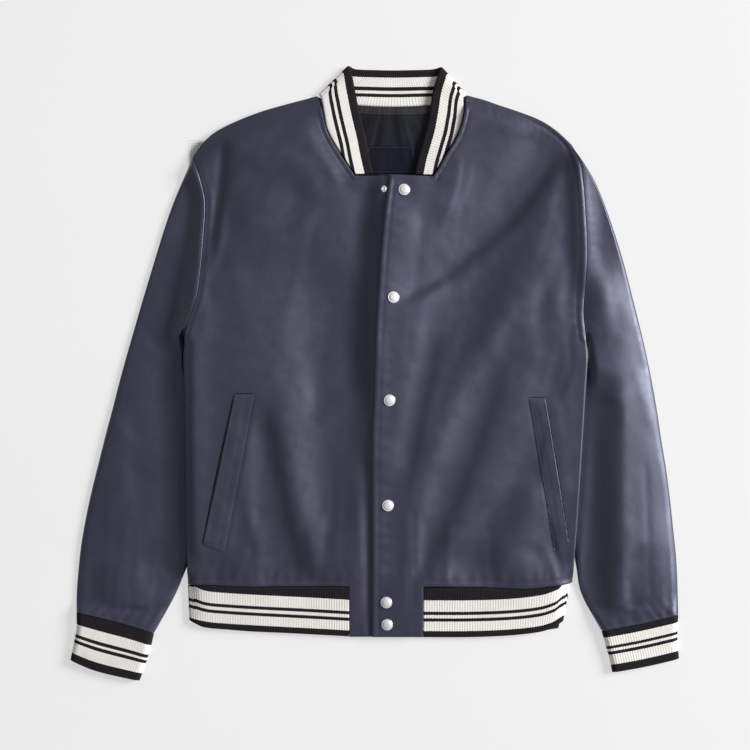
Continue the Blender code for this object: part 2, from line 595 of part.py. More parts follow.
def flat_tube(name, vs, up_at, low_at, up_shares, low_shares, in_up, in_low, top, wall, ribbed, colour, rough):
    """A flattened tube: up_at and low_at(u, v) give its plan, top(x, y, v) its height."""

    def ring(v, ups, lows, inner):
        line = []
        width = (up_at(1, v) - up_at(0, v)).length
        inset = 1.3 * wall / width if inner else 0.0
        for k, u in enumerate(ups):
            w = inset + u * (1 - 2 * inset)
            p = up_at(w, v)
            edge = min(4.0, top(p.x, p.y, v) / 2)
            z, _ = tube_heights(top(p.x, p.y, v), edge, u * width, (1 - u) * width)
            if inner:
                z = max(z - wall, edge + (0.15 if 0 < u < 1 else 0.0))
            elif ribbed and 0 < k < len(ups) - 1:
                z += RIB_RISE if k % 2 else 0.0
            line.append(Vector((p.x, p.y, z)))
        for u in reversed(lows[1:-1]):
            w = inset + u * (1 - 2 * inset)
            p = low_at(w, v)
            edge = min(4.0, top(p.x, p.y, v) / 2)
            _, z = tube_heights(0, edge, u * width, (1 - u) * width)
            if inner:
                z = min(z + wall, edge - 0.15)
            line.append(Vector((p.x, p.y, z)))
        return line

    def shares(ups, lows):
        return [u / 2 for u in ups] + [1 - u / 2 for u in reversed(lows[1:-1])]

    return tube_wall(
        name,
        [ring(v, up_shares, low_shares, False) for v in vs],
        [ring(v, in_up, in_low, True) for v in vs],
        shares(up_shares, low_shares), shares(in_up, in_low), colour, rough,
    )


def sleeve(s):
    sign = SIGN[s]
    arm, end = curve(ARMHOLE[s]), cuff_line(s, 0)

    def plan(u, v):
        """Sections from the inner edge to the outer one, bowed like the seam that each is near."""
        rail = rails[s](v)
        p = Vector(rail[2:]).lerp(Vector(rail[:2]), u)
        p += (arm(u) - arm(0).lerp(arm(1), u)) * max(1 - v / 0.2, 0) ** 2
        p += (end(u) - end(0).lerp(end(1), u)) * max(v / 0.2 - 4, 0) ** 2
        if v == 0:
            p.x += sign * GAP / 2
        elif p.y > 35:  # stay outside the armhole
            edge = crossing(arm_line[s], max(p.y, 47))
            p.x = edge + sign * max((p.x - edge) * sign, GAP / 2 + 60 * v - 0.3 * max(47 - p.y, 0))
        return p

    vs = [0, 0.035, 0.07, 0.115, 0.17, 0.23, 0.29, 0.35, 0.41, 0.47, 0.53, 0.59, 0.65, 0.71, 0.77, 0.83, 0.89, 0.95, 1]
    return flat_tube(
        f"sleeve_{s}", vs, plan, plan, ARM_SHARES, ARM_SHARES_BACK, ARM_SHARES, ARM_SHARES_BACK,
        lambda x, y, v: sleeve_top(s, x, y, v), CLOTH, False, CLOTH_NAVY, 0.4,
    )


def cuff_line(s, end, off=0.0):
    """The cuff seam (end 0) or open end (1), inner side to outer, as a gentle bow."""
    row = CUFF[s][-1 if end else 0]
    a, b = Vector((row.inner_x, row.inner_y)), Vector((row.outer_x, row.outer_y))
    along = (b - a).normalized()
    down = Vector((along.y, -along.x))
    if down.y > 0:
        down = -down
    share, bow = CUFF_BOW[s][end]
    mid = a + (b - a) * share + down * bow
    return curve([a + down * off, mid + down * off, b + down * off])


def cuff(s):
    inner = curve([P(r.inner_x, r.inner_y) for r in CUFF[s]])
    outer = curve([P(r.outer_x, r.outer_y) for r in CUFF[s]])
    at = patch(cuff_line(s, 0), cuff_line(s, 1), inner, outer)
    down = (at(0.5, 1) - at(0.5, 0)).normalized() * GAP
    plan = lambda u, v: at(u, v) + down * (1 - v)
    width = (at(1, 0.5) - at(0, 0.5)).length
    ribs = int(width / RIB_PITCH)
    ups = [0.0] + [(k + 0.5) / (2 * ribs) for k in range(2 * ribs)] + [1.0]
    lows = [0, 0.03, 0.15, 0.5, 0.85, 0.97, 1]
    ins = [0, 0.04, 0.12, 0.21, 0.3, 0.4, 0.5, 0.6, 0.7, 0.79, 0.88, 0.96, 1]
    drop = lambda x, y, v: CUFF_TOP - 1.5 * smooth((v - 0.2) / 0.8) - 0.6
    return flat_tube(f"cuff_{s}", [0, 0.35, 0.7, 1], plan, plan, ups, lows, ins, lows, drop, RIB_WALL, True, RIB_CREAM, 0.9)


def columns(length, fine, coarse, knots):
    """Shares along a band: rib columns inside the fine stretches, wide ones elsewhere."""
    shares = {0.0, 1.0} | set(knots)
    for a, b in fine:
        n = 2 * round((b - a) * length / RIB_PITCH)
        shares |= {a + (b - a) * k / n for k in range(n + 1)}
    marks = sorted(shares)
    keep = [m for m in marks if all(not (a + 1e-9 < m < b - 1e-9) for a, b in fine)]
    out = [m for m in marks if m not in keep]
    for a, b in zip(keep, keep[1:]):
        if any(abs(a - f[0]) < 1e-9 and abs(b - f[1]) < 1e-9 for f in fine):
            continue
        n = max(1, math.ceil((b - a) * length / coarse))
        out += [a + (b - a) * k / n for k in range(n)]
    return sorted(set([round(m, 9) for m in out + keep]))


def ribbed(fine, cols):
    """Raises every other column inside the fine stretches."""
    raised = set()
    for a, b in fine:
        inside = [c for c in cols if a + 1e-9 < c < b - 1e-9]
        raised |= set(inside[::2])
    return lambda s, k: RIB_RISE if s in raised else 0.0


def band(name, stations, fine_names, rows, wall):
    """stations: (seam Vector3, edge Vector3, tag); ribs on face a where tag is fine_names[0], on b for [1]."""
    seam = [a for a, b, tag in stations]
    edge = [b for a, b, tag in stations]
    run = [0.0]
    for k in range(1, len(stations)):
        run.append(run[-1] + ((seam[k] - seam[k - 1]).length + (edge[k] - edge[k - 1]).length) / 2)
    knots = [r / run[-1] for r in run]
    join = [tuple(a) + tuple(b) for a, b, tag in stations]

    def read(t):  # both edges at once, at the stations' own shares
        i = 0
        while i < len(knots) - 2 and knots[i + 1] <= t:
            i += 1
        span = knots[i + 1] - knots[i]
        k = (t - knots[i]) / span
        both = []
        for c in range(6):
            def slope(j):
                a, b = max(j - 1, 0), min(j + 1, len(knots) - 1)
                return (join[b][c] - join[a][c]) / (knots[b] - knots[a])
            both.append(
                join[i][c] * (2 * k**3 - 3 * k**2 + 1) + slope(i) * span * (k**3 - 2 * k**2 + k)
                + join[i + 1][c] * (3 * k**2 - 2 * k**3) + slope(i + 1) * span * (k**3 - k**2)
            )
        return Vector(both[:3]), Vector(both[3:])

    def middle(s, h):
        a, b = read(s)
        return a + (b - a) * h

    def stretches(tag):
        found, start = [], None
        for k, row in enumerate(stations):
            if row[2] == tag and start is None:
                start = k
            if start is not None and (row[2] != tag or k == len(stations) - 1):
                stop = k if row[2] == tag else k - 1
                found.append((knots[start], knots[stop]))
                start = None
        return [f for f in found if f[1] > f[0]]

    fine_a, fine_b = stretches(fine_names[0]), stretches(fine_names[1])
    turn = [k for k, row in zip(knots, stations) if row[2] == "turn"]
    extra = []
    for k in turn:
        i = knots.index(k)
        extra += [(knots[i - 1] + k) / 2, k, (knots[i + 1] + k) / 2]
    cols_a = columns(run[-1], fine_a, 10, extra)
    cols_b = columns(run[-1], fine_b, 10, extra)
    return band_wall(
        name, middle, rows, cols_a, cols_b, wall, ribbed(fine_a, cols_a), ribbed(fine_b, cols_b), RIB_CREAM, 0.9
    )


def hem_band():
    half = RIB_WALL / 2

    def front(row):
        a = Vector((row.seam_x, row.seam_y - GAP, front_top(row.seam_x, row.seam_y) - half - RIB_RISE / 2))
        b = Vector((row.edge_x, row.edge_y, front_top(row.edge_x, row.edge_y) - half - RIB_RISE / 2))
        return a, b, "front"

    def back(x, y0, y1):
        return Vector((x, y0 - GAP * 2, half)), Vector((x, y1, half)), "back"

    def turn(row, sign):
        return Vector((row.seam_x - sign * half, row.seam_y, 4.2)), Vector((row.edge_x - sign * half, row.edge_y, 4.0)), "turn"

    rows = []
    for s in SIDES:
        part = [front(r) for r in HEM_BAND[s]]
        sign = SIGN[s]
        low = HEM_BAND[s][-1]
        last = HEM_TURN[s]
        mid = Band(*[(p + 2 * q) / 3 for p, q in zip(low, last)])
        near = Band(mid.seam_x, mid.seam_y, mid.edge_x, mid.edge_y)
        upper = (Vector((near.seam_x, near.seam_y, 7.2)), Vector((near.edge_x, near.edge_y, 6.3)), "front")
        under = (Vector((near.seam_x, near.seam_y, half)), Vector((near.edge_x, near.edge_y, half)), "back")
        part += [upper, turn(last, sign), under, back(low.seam_x, low.seam_y, low.edge_y)]
        rows.append(part)
    start = Vector((-GAP, 0, 0))
    rows[0][0] = (rows[0][0][0] + start, rows[0][0][1] + start, "front")
    rows[1][0] = (rows[1][0][0] - start, rows[1][0][1] - start, "front")
    stations = rows[0] + [back(*r) for r in HEM_BACK_Y] + rows[1][::-1]
    return band("hem_rib", stations, ("front", "none"), [0, 0.5, 1], RIB_WALL)


def collar():
    def row(r, tag):
        return Vector((r.seam_x, r.seam_y, r.seam_z)), Vector((r.edge_x, r.edge_y, r.edge_z)), tag

    stations = [row(r, "front") for r in COLLAR_FRONT["right"]] + [row(COLLAR_TURN["right"], "turn")]
    stations += [row(r, "back") for r in COLLAR_BACK] + [row(COLLAR_TURN["left"], "turn")]
    stations += [row(r, "front") for r in reversed(COLLAR_FRONT["left"])]
    return band("collar", stations, ("back", "front"), [0, 0.5, 1], RIB_WALL)


def back_lining():
    us, vs = spread(16), spread(5)
    low = curve([P(-112, 196), P(20, 190), P(152, 196)])
    side = {"right": curve([P(-112, 196), P(-92, 280), P(-70, 350)]), "left": curve([P(152, 196), P(132, 280), P(110, 350)])}
    high = curve([P(-70, 350), P(-50, 347), P(-22, 345), P(20, 344), P(66, 345), P(92, 347.5), P(110, 350)])
    at = patch(low, high, side["right"], side["left"])
    points = {(i, j): at(u, v) for j, v in enumerate(vs) for i, u in enumerate(us)}
    cells = [(i, j) for i in range(16) for j in range(5)]

    def top(x, y):
        fade = smooth((y - 192) / 20) * smooth((352 - y) / 10)
        return back_under(x, y) + CLOTH + 2.5 * GAP + LINING_WALL + (0.2 + max(folded(x, y, LINING_FOLDS), 0)) * fade

    return sheet_wall("back_lining", points, cells, top, LINING_WALL, LINING_NAVY, 0.5)


def on_panel(name, base, grid, thick, colour, rough):
    """A piece whose underside is the panel's own surface, moved out."""
    heights = {k: drop_on(base, p.x, p.y) for k, p in grid.items()}
    ni, nj = max(k[0] for k in grid), max(k[1] for k in grid)
    worst = 0.0
    for i in range(ni):
        for j in range(nj):
            ring = [(i, j), (i + 1, j), (i + 1, j + 1), (i, j + 1)]
            for a in range(7):
                for b in range(7):
                    s, t = a / 6, b / 6
                    w = [(1 - s) * (1 - t), s * (1 - t), s * t, (1 - s) * t]
                    x = sum(w[k] * grid[ring[k]].x for k in range(4))
                    y = sum(w[k] * grid[ring[k]].y for k in range(4))
                    z = sum(w[k] * heights[ring[k]] for k in range(4))
                    worst = max(worst, drop_on(base, x, y) - z)
    bm = bmesh.new()
    lift = GAP + worst
    low = {k: bm.verts.new((p.x, p.y, heights[k] + lift)) for k, p in grid.items()}
    high = {k: bm.verts.new((p.x, p.y, heights[k] + lift + thick)) for k, p in grid.items()}
    edges = {}
    for i in range(ni):
        for j in range(nj):
            ring = [(i, j), (i + 1, j), (i + 1, j + 1), (i, j + 1)]
            cell_faces(bm, high, ring, high)
            cell_faces(bm, low, ring, high)
            for a, b in zip(ring, ring[1:] + ring[:1]):
                key = frozenset((a, b))
                edges[key] = None if key in edges else (a, b)
    for pair in edges.values():
        if pair:
            bm.faces.new([high[pair[1]], high[pair[0]], low[pair[0]], low[pair[1]]])
    return finish(name, bm, colour, rough)


def welt(row):
    base = bpy.data.objects[f"front_{row.side}"]
    grid = {}
    for j in range(13):
        t = j / 12
        a = Vector((row.mouth_x0, row.mouth_y0)).lerp(Vector((row.mouth_x1, row.mouth_y1)), t)
        b = Vector((row.in_x0, row.in_y0)).lerp(Vector((row.in_x1, row.in_y1)), t)
        for i in range(3):
            grid[i, j] = a.lerp(b, i / 2)
    return on_panel(f"pocket_welt_{row.side}", base, grid, 1.8, CLOTH_NAVY, 0.4)


def label():
    grid = {}
    w, h = LABEL_SIZE
    for i in range(7):
        for j in range(3):
            grid[i, j] = Vector((LABEL_AT.x + w * (i / 6 - 0.5), LABEL_AT.y + h * (j / 2 - 0.5)))
    return on_panel("neck_label", bpy.data.objects["back_lining"], grid, 0.9, LINING_NAVY, 0.6)


CAP_PROFILE = [(0, 2.7), (3.4, 2.5), (5.6, 1.4), (7.5, 1.0), (7.5, 0)]
STUD_PROFILE = [(0, 1.1), (1.5, 1.1), (1.9, 2.0), (2.7, 2.0), (3.1, 0.8), (4.3, 0.6), (4.3, 0)]


def turned(name, centre, base, profile, sides=16):
    """A turned piece standing on a panel along its slope."""
    reach = max(r for r, z in profile)
    ring = [(centre.x + reach * math.cos(a), centre.y + reach * math.sin(a)) for a in [2 * math.pi * k / 12 for k in range(12)]]
    pts = [Vector((x, y, drop_on(base, x, y) or 0)) for x, y in ring if drop_on(base, x, y) is not None]
    mid = sum(pts, Vector()) / len(pts)
    normal = Vector()
    for a, b in zip(pts, pts[1:] + pts[:1]):
        normal += (a - mid).cross(b - mid)
    normal.normalize()
    pts.append(Vector((centre.x, centre.y, drop_on(base, centre.x, centre.y))))
    lift = max((p - mid).dot(normal) for p in pts) + GAP
    turn = Vector((0, 0, 1)).rotation_difference(normal)
    origin = Vector((centre.x, centre.y, mid.z)) + normal * lift
    bm = bmesh.new()
    rings = []
    for r, z in profile:
        if r == 0:
            rings.append([bm.verts.new(origin + turn @ Vector((0, 0, z)))])
        else:
            rings.append([
                bm.verts.new(origin + turn @ Vector((r * math.cos(2 * math.pi * k / sides), r * math.sin(2 * math.pi * k / sides), z)))
                for k in range(sides)
            ])
    for a, b in zip(rings, rings[1:]):
        for k in range(sides):
            n = (k + 1) % sides
            bm.faces.new([a[0], b[k], b[n]] if len(a) == 1 else [a[k], b[k], b[n], a[n]])
    bm.faces.new(rings[-1])
    return finish(name, bm, SILVER, 0.25, 1.0)


# ---------------------------------------------------------------- the garment
trees = {}


def keep_tree(obj):
    trees[obj.name] = BVHTree.FromPolygons([v.co.copy() for v in obj.data.vertices], [tuple(p.vertices) for p in obj.data.polygons])
    return obj


back_panel()
keep_tree(back_lining())
label()
for s in SIDES:
    keep_tree(front_panel(s))
    sleeve(s)
    cuff(s)
hem_band()
collar()
for row in WELTS:
    welt(row)
for number, at in enumerate(CAPS, 1):
    turned(f"snap_cap_{number}", at, bpy.data.objects["front_left"], CAP_PROFILE)
turned("snap_stud", STUD, bpy.data.objects["front_right"], STUD_PROFILE, 16)
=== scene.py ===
"""Looks of the varsity jacket laid flat: satin, striped rib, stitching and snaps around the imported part.

Heights and plans repeat part.py's tables at a finer pitch, in millimetres; each mesh is
moved by CENTRE and scaled to metres as it is written. X runs across the jacket (the
wearer's right is at -X), Y from hem to collar, Z up.
"""

import math
from collections import namedtuple

import bmesh
import bpy
import numpy as np
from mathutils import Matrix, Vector


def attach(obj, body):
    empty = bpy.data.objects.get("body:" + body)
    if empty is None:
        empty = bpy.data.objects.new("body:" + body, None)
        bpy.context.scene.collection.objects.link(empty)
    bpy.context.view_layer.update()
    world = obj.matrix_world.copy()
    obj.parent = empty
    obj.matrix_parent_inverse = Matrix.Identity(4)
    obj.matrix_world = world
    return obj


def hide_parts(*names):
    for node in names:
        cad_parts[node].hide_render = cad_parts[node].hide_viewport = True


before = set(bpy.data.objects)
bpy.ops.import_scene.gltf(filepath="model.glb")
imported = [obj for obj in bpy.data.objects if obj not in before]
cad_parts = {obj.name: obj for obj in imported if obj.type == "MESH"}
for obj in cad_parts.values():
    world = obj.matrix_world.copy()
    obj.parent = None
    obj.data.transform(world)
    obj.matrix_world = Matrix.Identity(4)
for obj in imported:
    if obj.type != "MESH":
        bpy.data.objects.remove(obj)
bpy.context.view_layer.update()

# ---------------------------------------------------------------- driving sizes, mm
MM = 0.001
GAP = 0.3
CLOTH = 2.2
SHELL = 1.7  # wall of the satin shells here, so that they stay clear of each other
RIB_WALL = 2.6
LINING_WALL = 1.2
RIB_PITCH = 3.3
RIB_RISE = 0.3  # about half of part.py's, as the photo's ribs are nearly flat
STRIPE_SCALE = 0.01  # a stripe's place in mm, as a share of its 100 mm colour ramp
TORSO_TOP = 15.5
HEM_TOP = 8.0
SLEEVE_TOP = {"right": 7.8, "left": 13.5}
SLEEVE_EDGE = {"right": 5.3, "left": 6.0}
SLEEVE_ROLL = {"right": 36.0, "left": 50.0}
SLEEVE_LONG = 640.0  # near enough, for distances from the cuff's seam
LEAST_SLEEVE = 5.2  # its top stays above this
CUFF_TOP = 12.0
TUCK_TOP = {"right": 9.5, "left": 7.0}  # a sleeve's height where it lies under the torso's side
TUCK_CLEAR = {"right": 10.0, "left": 7.5}  # and the room that the torso leaves for it
TUCK_DIP = {"right": 4.2, "left": 0.0}  # how far it then sinks outwards
TUCK_RISE = {"right": 0.0, "left": 0.22}  # its climb per mm outwards
TUCK_FREE = {"right": (12, 40), "left": (-45, 75)}  # where, and over what length, it climbs more
SHOULDER_LIFT = 2.6
EDGE_ROLL = 30.0
SIDE_ROLL_QUICK = {"right": 2.2, "left": 1.4}
MOUTH_SHADE_WIDE = (2.0, 1.1)  # width of the dark strip along the right and left pocket's mouth: partly the pocketing's dark lining, partly painted shade of the opening
BESIDE_WELT = (0.9, 0.45)  # the cloth's rise beside the right and left welt
TAB_X = (-34.0, 62.0)  # the fronts run on to the hem between these
TAB_END_Y = -341.5
PIT_Y = 47.0  # the armholes' low end
TUCK_END_Y = -250.0
FOLD_DOWN = 2.6  # how far the back stays inside the fronts' edges that fold over it
CENTRE = (-1.0, 1.2)

P = namedtuple("P", "x y")
Section = namedtuple("Section", "outer_x outer_y inner_x inner_y")
Band = namedtuple("Band", "seam_x seam_y edge_x edge_y")
Fold = namedtuple("Fold", "x0 y0 x1 y1 wide high")
Flank = namedtuple("Flank", "x0 y0 x1 y1 bow wide drop fade0 fade1")
Welt = namedtuple("Welt", "side mouth_x0 mouth_y0 mouth_x1 mouth_y1 in_x0 in_y0 in_x1 in_y1")
Collar = namedtuple("Collar", "seam_x seam_y edge_x edge_y seam_z edge_z")

SIDE = {
    "right": [P(-244, -273), P(-245, -216), P(-246, -138), P(-247.5, -34), P(-249, 20), P(-247, 47)],
    "left": [P(256, -271), P(258, -243), P(262, -190), P(267, -115), P(272, -32), P(275, 20), P(273, 47)],
}
ARMHOLE = {
    "right": [
        P(-247, 47), P(-242.5, 66), P(-231.5, 97), P(-226, 138), P(-222, 190), P(-221, 225), P(-228, 256),
        P(-237, 283),
    ],
    "left": [
        P(273, 47), P(270, 79), P(272, 114), P(274, 162), P(272, 205), P(269, 245), P(264, 276),
        P(255, 298),
    ],
}
SHOULDER = {
    "right": [
        P(-237, 283), P(-222, 303), P(-206, 316), P(-180, 329), P(-149, 341), P(-118, 350), P(-76, 361),
    ],
    "left": [P(255, 298), P(237, 315), P(216, 329), P(189, 340), P(159, 350), P(139, 357), P(118, 362)],
}
NECK_FRONT = {
    "right": [P(-76, 361), P(-69, 341), P(-64, 318), P(-57, 303), P(-48, 288), P(-38, 273), P(-27, 257)],
    "left": [P(118, 362), P(116, 341), P(110, 317), P(102, 300), P(93, 286), P(84, 270), P(75, 256)],
}
NECK_BACK = [P(-76, 361), P(-53, 353), P(-24, 349), P(19, 347), P(71, 349), P(97, 354), P(118, 362)]
LEAD = {
    "right": [P(36, -281), P(34, -164), P(34, -34), P(37, 96), P(40, 200), P(42, 256)],
    "left": [
        P(-4, -281), P(-4, -216), P(-4, -81), P(-2, -32), P(1, 60), P(4, 109), P(8, 166), P(13, 215),
        P(19, 258),
    ],
}
HEM_LINE = {
    "right": [P(-244, -273), P(-208, -274), P(-163, -275.4), P(-100, -275.2), P(-34, -275.5), P(36, -281)],
    "left": [P(-4, -281), P(62, -275.8), P(125, -276.2), P(195, -278), P(230, -275), P(256, -271)],
}
SLEEVE = {
    "right": [
        Section(-237, 283, -247, 47), Section(-266, 215, -250, 26), Section(-296, 120, -249, 4),
        Section(-318, 45, -241, -18), Section(-332, -5, -229, -42), Section(-342, -44, -217, -68),
        Section(-351, -78, -209, -98), Section(-359, -110, -207, -130), Section(-368, -146, -212, -163),
        Section(-376, -182, -223, -197), Section(-383, -222, -237, -232), Section(-387, -258, -249, -260),
        Section(-389, -285, -262, -290), Section(-389, -309, -288, -337),
    ],
    "left": [
        Section(255, 298, 273, 47), Section(287, 246, 276, 27), Section(316, 168, 274.5, 5),
        Section(337, 90, 267, -20), Section(352, 28, 256, -45), Section(361, -17, 244, -70),
        Section(367, -52, 236, -98), Section(372, -86, 234, -128), Section(378, -122, 239, -160),
        Section(383, -160, 248, -192), Section(387, -198, 256, -222), Section(391, -236, 261, -250),
        Section(393, -275, 268, -286), Section(394, -313, 294, -334),
    ],
}
CUFF = {
    "right": [
        Section(-389, -309, -288, -337), Section(-389, -330, -293, -358), Section(-393, -352, -300, -380),
        Section(-397, -372, -307, -399),
    ],
    "left": [
        Section(394, -313, 294, -334), Section(393, -332, 299, -352), Section(393, -350, 304, -369),
        Section(395, -370, 308, -388),
    ],
}
CUFF_BOW = {"right": ((0.35, -1.5), (0.62, 3.5)), "left": ((0.45, 1.0), (0.5, 1.0))}
HEM_BAND = {
    "right": [
        Band(-34, -275.8, -34, -341), Band(-90, -275.5, -90, -338), Band(-145, -275.8, -145, -335),
        Band(-195, -274.9, -194, -332), Band(-226, -274, -223, -329),
    ],
    "left": [
        Band(62, -276.1, 62, -342), Band(120, -276.5, 120, -342), Band(172, -277.9, 171, -340),
        Band(212, -277.6, 209, -336), Band(238, -274.3, 228, -331),
    ],
}
HEM_TURN = {"right": Band(-244, -274, -242, -321), "left": Band(254, -272, 244, -322)}
HEM_BACK_Y = ((-150, -278, -336), (0, -280, -340), (150, -279, -340))
COLLAR_FRONT = {
    "right": [
        Collar(-26.5, 259, -3, 260, 13.2, 12.6), Collar(-37.5, 274.5, -8.5, 284, 12.6, 11.0),
        Collar(-47.5, 289.5, -13, 307, 12.0, 10.0), Collar(-56.5, 304.5, -18, 328, 11.0, 9.2),
        Collar(-63.5, 319.5, -22.5, 348, 10.0, 8.4), Collar(-67.5, 341.5, -27, 371, 8.6, 7.8),
        Collar(-70.5, 358, -31.5, 394, 7.4, 7.2),
    ],
    "left": [
        Collar(74.5, 258.5, 51, 259, 13.8, 13.0), Collar(83.5, 272, 55, 279, 13.0, 11.6),
        Collar(92.5, 288, 61, 300, 12.2, 10.4), Collar(101.5, 302, 66.5, 320, 11.2, 9.4),
        Collar(109.5, 319, 70.5, 342, 10.2, 8.6), Collar(114.5, 341, 75, 369, 8.8, 8.0),
        Collar(114, 359, 82.5, 393, 7.6, 7.4),
    ],
}
COLLAR_TURN = {
    "right": Collar(-73, 363, -34.5, 400.5, 4.6, 4.6),
    "left": Collar(117, 364.5, 85, 399, 4.6, 4.6),
}
COLLAR_BACK = [
    Collar(-66, 359.5, -28, 397.5, 1.9, 1.9), Collar(-50, 353.8, -19, 396.5, 1.35, 1.35),
    Collar(-22, 349.6, -3, 396, 1.3, 1.3),
    Collar(20, 347.6, 24, 395.5, 1.3, 1.3), Collar(68, 349.6, 52, 396, 1.3, 1.3),
    Collar(92, 353.6, 70, 396.5, 1.35, 1.35),
    Collar(110, 360, 78, 397.5, 1.9, 1.9),
]
# Flanks of the folds: the cloth falls by drop across a line that bows towards its left hand, and the
# step dies away on both sides and fades in and out over these shares of the line. Most of these rows,
# the sleeves' too, come from a scratch fit to the photo's shading: see the first section of report.md.
FRONT_FLANKS = [
    Flank(-82, 364, -103, -310, 40, 57.9, 2.4, 0.12, 0.12),
    Flank(-243, 60, -240, -262, 0, 6, -1.8, 0.12, 0.12),
    Flank(115, 371, 131, -268, 11.8, 73.8, 3.2, 0.12, 0.12),
    Flank(-116, 274, -74, -235, -19.2, 25.3, 3.3, 0.25, 0.15),
    Flank(-89, 155, -88, -84, -3.1, 15.3, 1.7, 0.3, 0.3),
    Flank(-143, -22, -88, -274, -3.9, 10.8, -4.1, 0.2, 0.12),
    Flank(-147, -30, -138, -262, -15.9, 12.6, 1.9, 0.2, 0.12),
    Flank(-173, -157, -148, -242, -4.6, 5.4, -0.9, 0.3, 0.25),
    Flank(-186, -154, -193, -244, 3.1, 10.4, 1.6, 0.3, 0.3),
    Flank(-31, 149, -40, -235, 24.1, 18.3, -3.2, 0.2, 0.15),
    Flank(-20, -78, -16, -340, 4, 11.7, 2.9, 0.25, 0.12), Flank(5, 280, -8, -83, -8, 10.4, -5.6, 0.15, 0.3),
    Flank(-10, -60, -8, -340, 3.2, 5.3, -1.2, 0.2, 0.12), Flank(-32, 246, -34, 147, 11.3, 9.1, 0.4, 0.3, 0.3),
    Flank(-157, 287, -77, 205, 16.8, 15.3, -3.1, 0.25, 0.3),
    Flank(-166, 278, -124, 260, -5.8, 9.8, -1.3, 0.3, 0.3),
    Flank(-129, 315, -57, 216, 22.4, 12.2, -1, 0.3, 0.3),
    Flank(-191, 312, -212, 136, 1.5, 7.8, -3.3, 0.12, 0.25),
    Flank(-198, 314, -222, 147, 3.2, 5.2, 1.3, 0.2, 0.3),
    Flank(-194, 235, -215, 113, 6.4, 5.1, 1.6, 0.3, 0.3),
    Flank(-170, 314, -188, 156, 7.5, 20.2, -4.3, 0.3, 0.3),
    Flank(-172, 171, -159, -60, 3.3, 43, 5.6, 0.3, 0.3),
    Flank(-253, 77, -242, -250, -3.9, 10.3, -4.3, 0.2, 0.12),
    Flank(-91, -182, -69, -276, -7.6, 5.5, -1, 0.3, 0.12),
    Flank(-179, -238, -134, -276, -0.6, 12.3, 2, 0.3, 0.2),
    Flank(-208, 289, -87, 346, 2.4, 10, 0.4, 0.15, 0.2),
    Flank(-218, 123, -209, 30, -1.8, 15.2, 1.9, 0.3, 0.3),
    Flank(264, 314, 122, 13, -4.9, 25, -5.2, 0.12, 0.2), Flank(250, 303, 105, 136, 15.6, 9, -3.8, 0.25, 0.2),
    Flank(135, 152, 17, 80, 1.9, 7.1, -2.2, 0.2, 0.3), Flank(246, 286, 200, 123, 4, 6.5, 0.6, 0.2, 0.3),
    Flank(254, 318, 263, 90, -2.2, 8.7, -3.7, 0.12, 0.25), Flank(255, 145, 247, 56, -8.4, 6.2, 0.7, 0.3, 0.3),
    Flank(224, 122, 226, 20, -3.8, 10.3, -1.5, 0.3, 0.3),
    Flank(214, 136, 207, -47, -0.2, 21.5, 3.3, 0.2, 0.2), Flank(235, 56, 214, -32, 5.6, 5, 0.5, 0.3, 0.2),
    Flank(252, 89, 268, -235, 0.3, 9.6, 1.5, 0.2, 0.15), Flank(215, 338, 45, 115, 9.4, 22, 2.5, 0.15, 0.2),
    Flank(113, 290, 75, 166, 8.8, 4, 0.5, 0.2, 0.3), Flank(131, 284, 91, 180, 5.3, 8.1, 1, 0.3, 0.3),
    Flank(61, 237, 28, 91, 0.4, 18.5, 2.5, 0.3, 0.3), Flank(68, 110, 23, -157, -1, 11.9, 2.1, 0.2, 0.2),
    Flank(89, 69, 41, -164, -1.1, 5.9, -0.9, 0.2, 0.2), Flank(139, 76, 48, -143, -0.4, 18.8, -2.4, 0.2, 0.2),
    Flank(183, 74, 55, -274, -30.4, 15.1, 3, 0.15, 0.12), Flank(174, 27, 52, -284, 8.9, 11.4, -3, 0.2, 0.12),
    Flank(214, -53, 84, -257, 6.8, 15.4, 2.2, 0.2, 0.2),
    Flank(204, -123, 145, -290, -4.1, 18.9, -3.5, 0.2, 0.2),
    Flank(218, -130, 176, -263, 13.7, 22.9, 4.8, 0.25, 0.25),
    Flank(166, -268, 262, -256, 22, 13, 2.5, 0.25, 0.2), Flank(185, -219, 219, -239, 7, 4.8, -0.5, 0.3, 0.3),
    Flank(196, 99, 149, 20, -3.4, 9.2, 1.4, 0.3, 0.3), Flank(62, -172, 51, -273, 2.3, 5.9, 0.7, 0.3, 0.12),
    Flank(42, -155, 38, -343, 3.8, 4.6, 0.8, 0.2, 0.12), Flank(6, 90, 16, -284, 0.1, 13.9, 1.9, 0.12, 0.12),
    Flank(235, -12, 256, -195, 0.2, 8.1, 1.1, 0.2, 0.2),
]
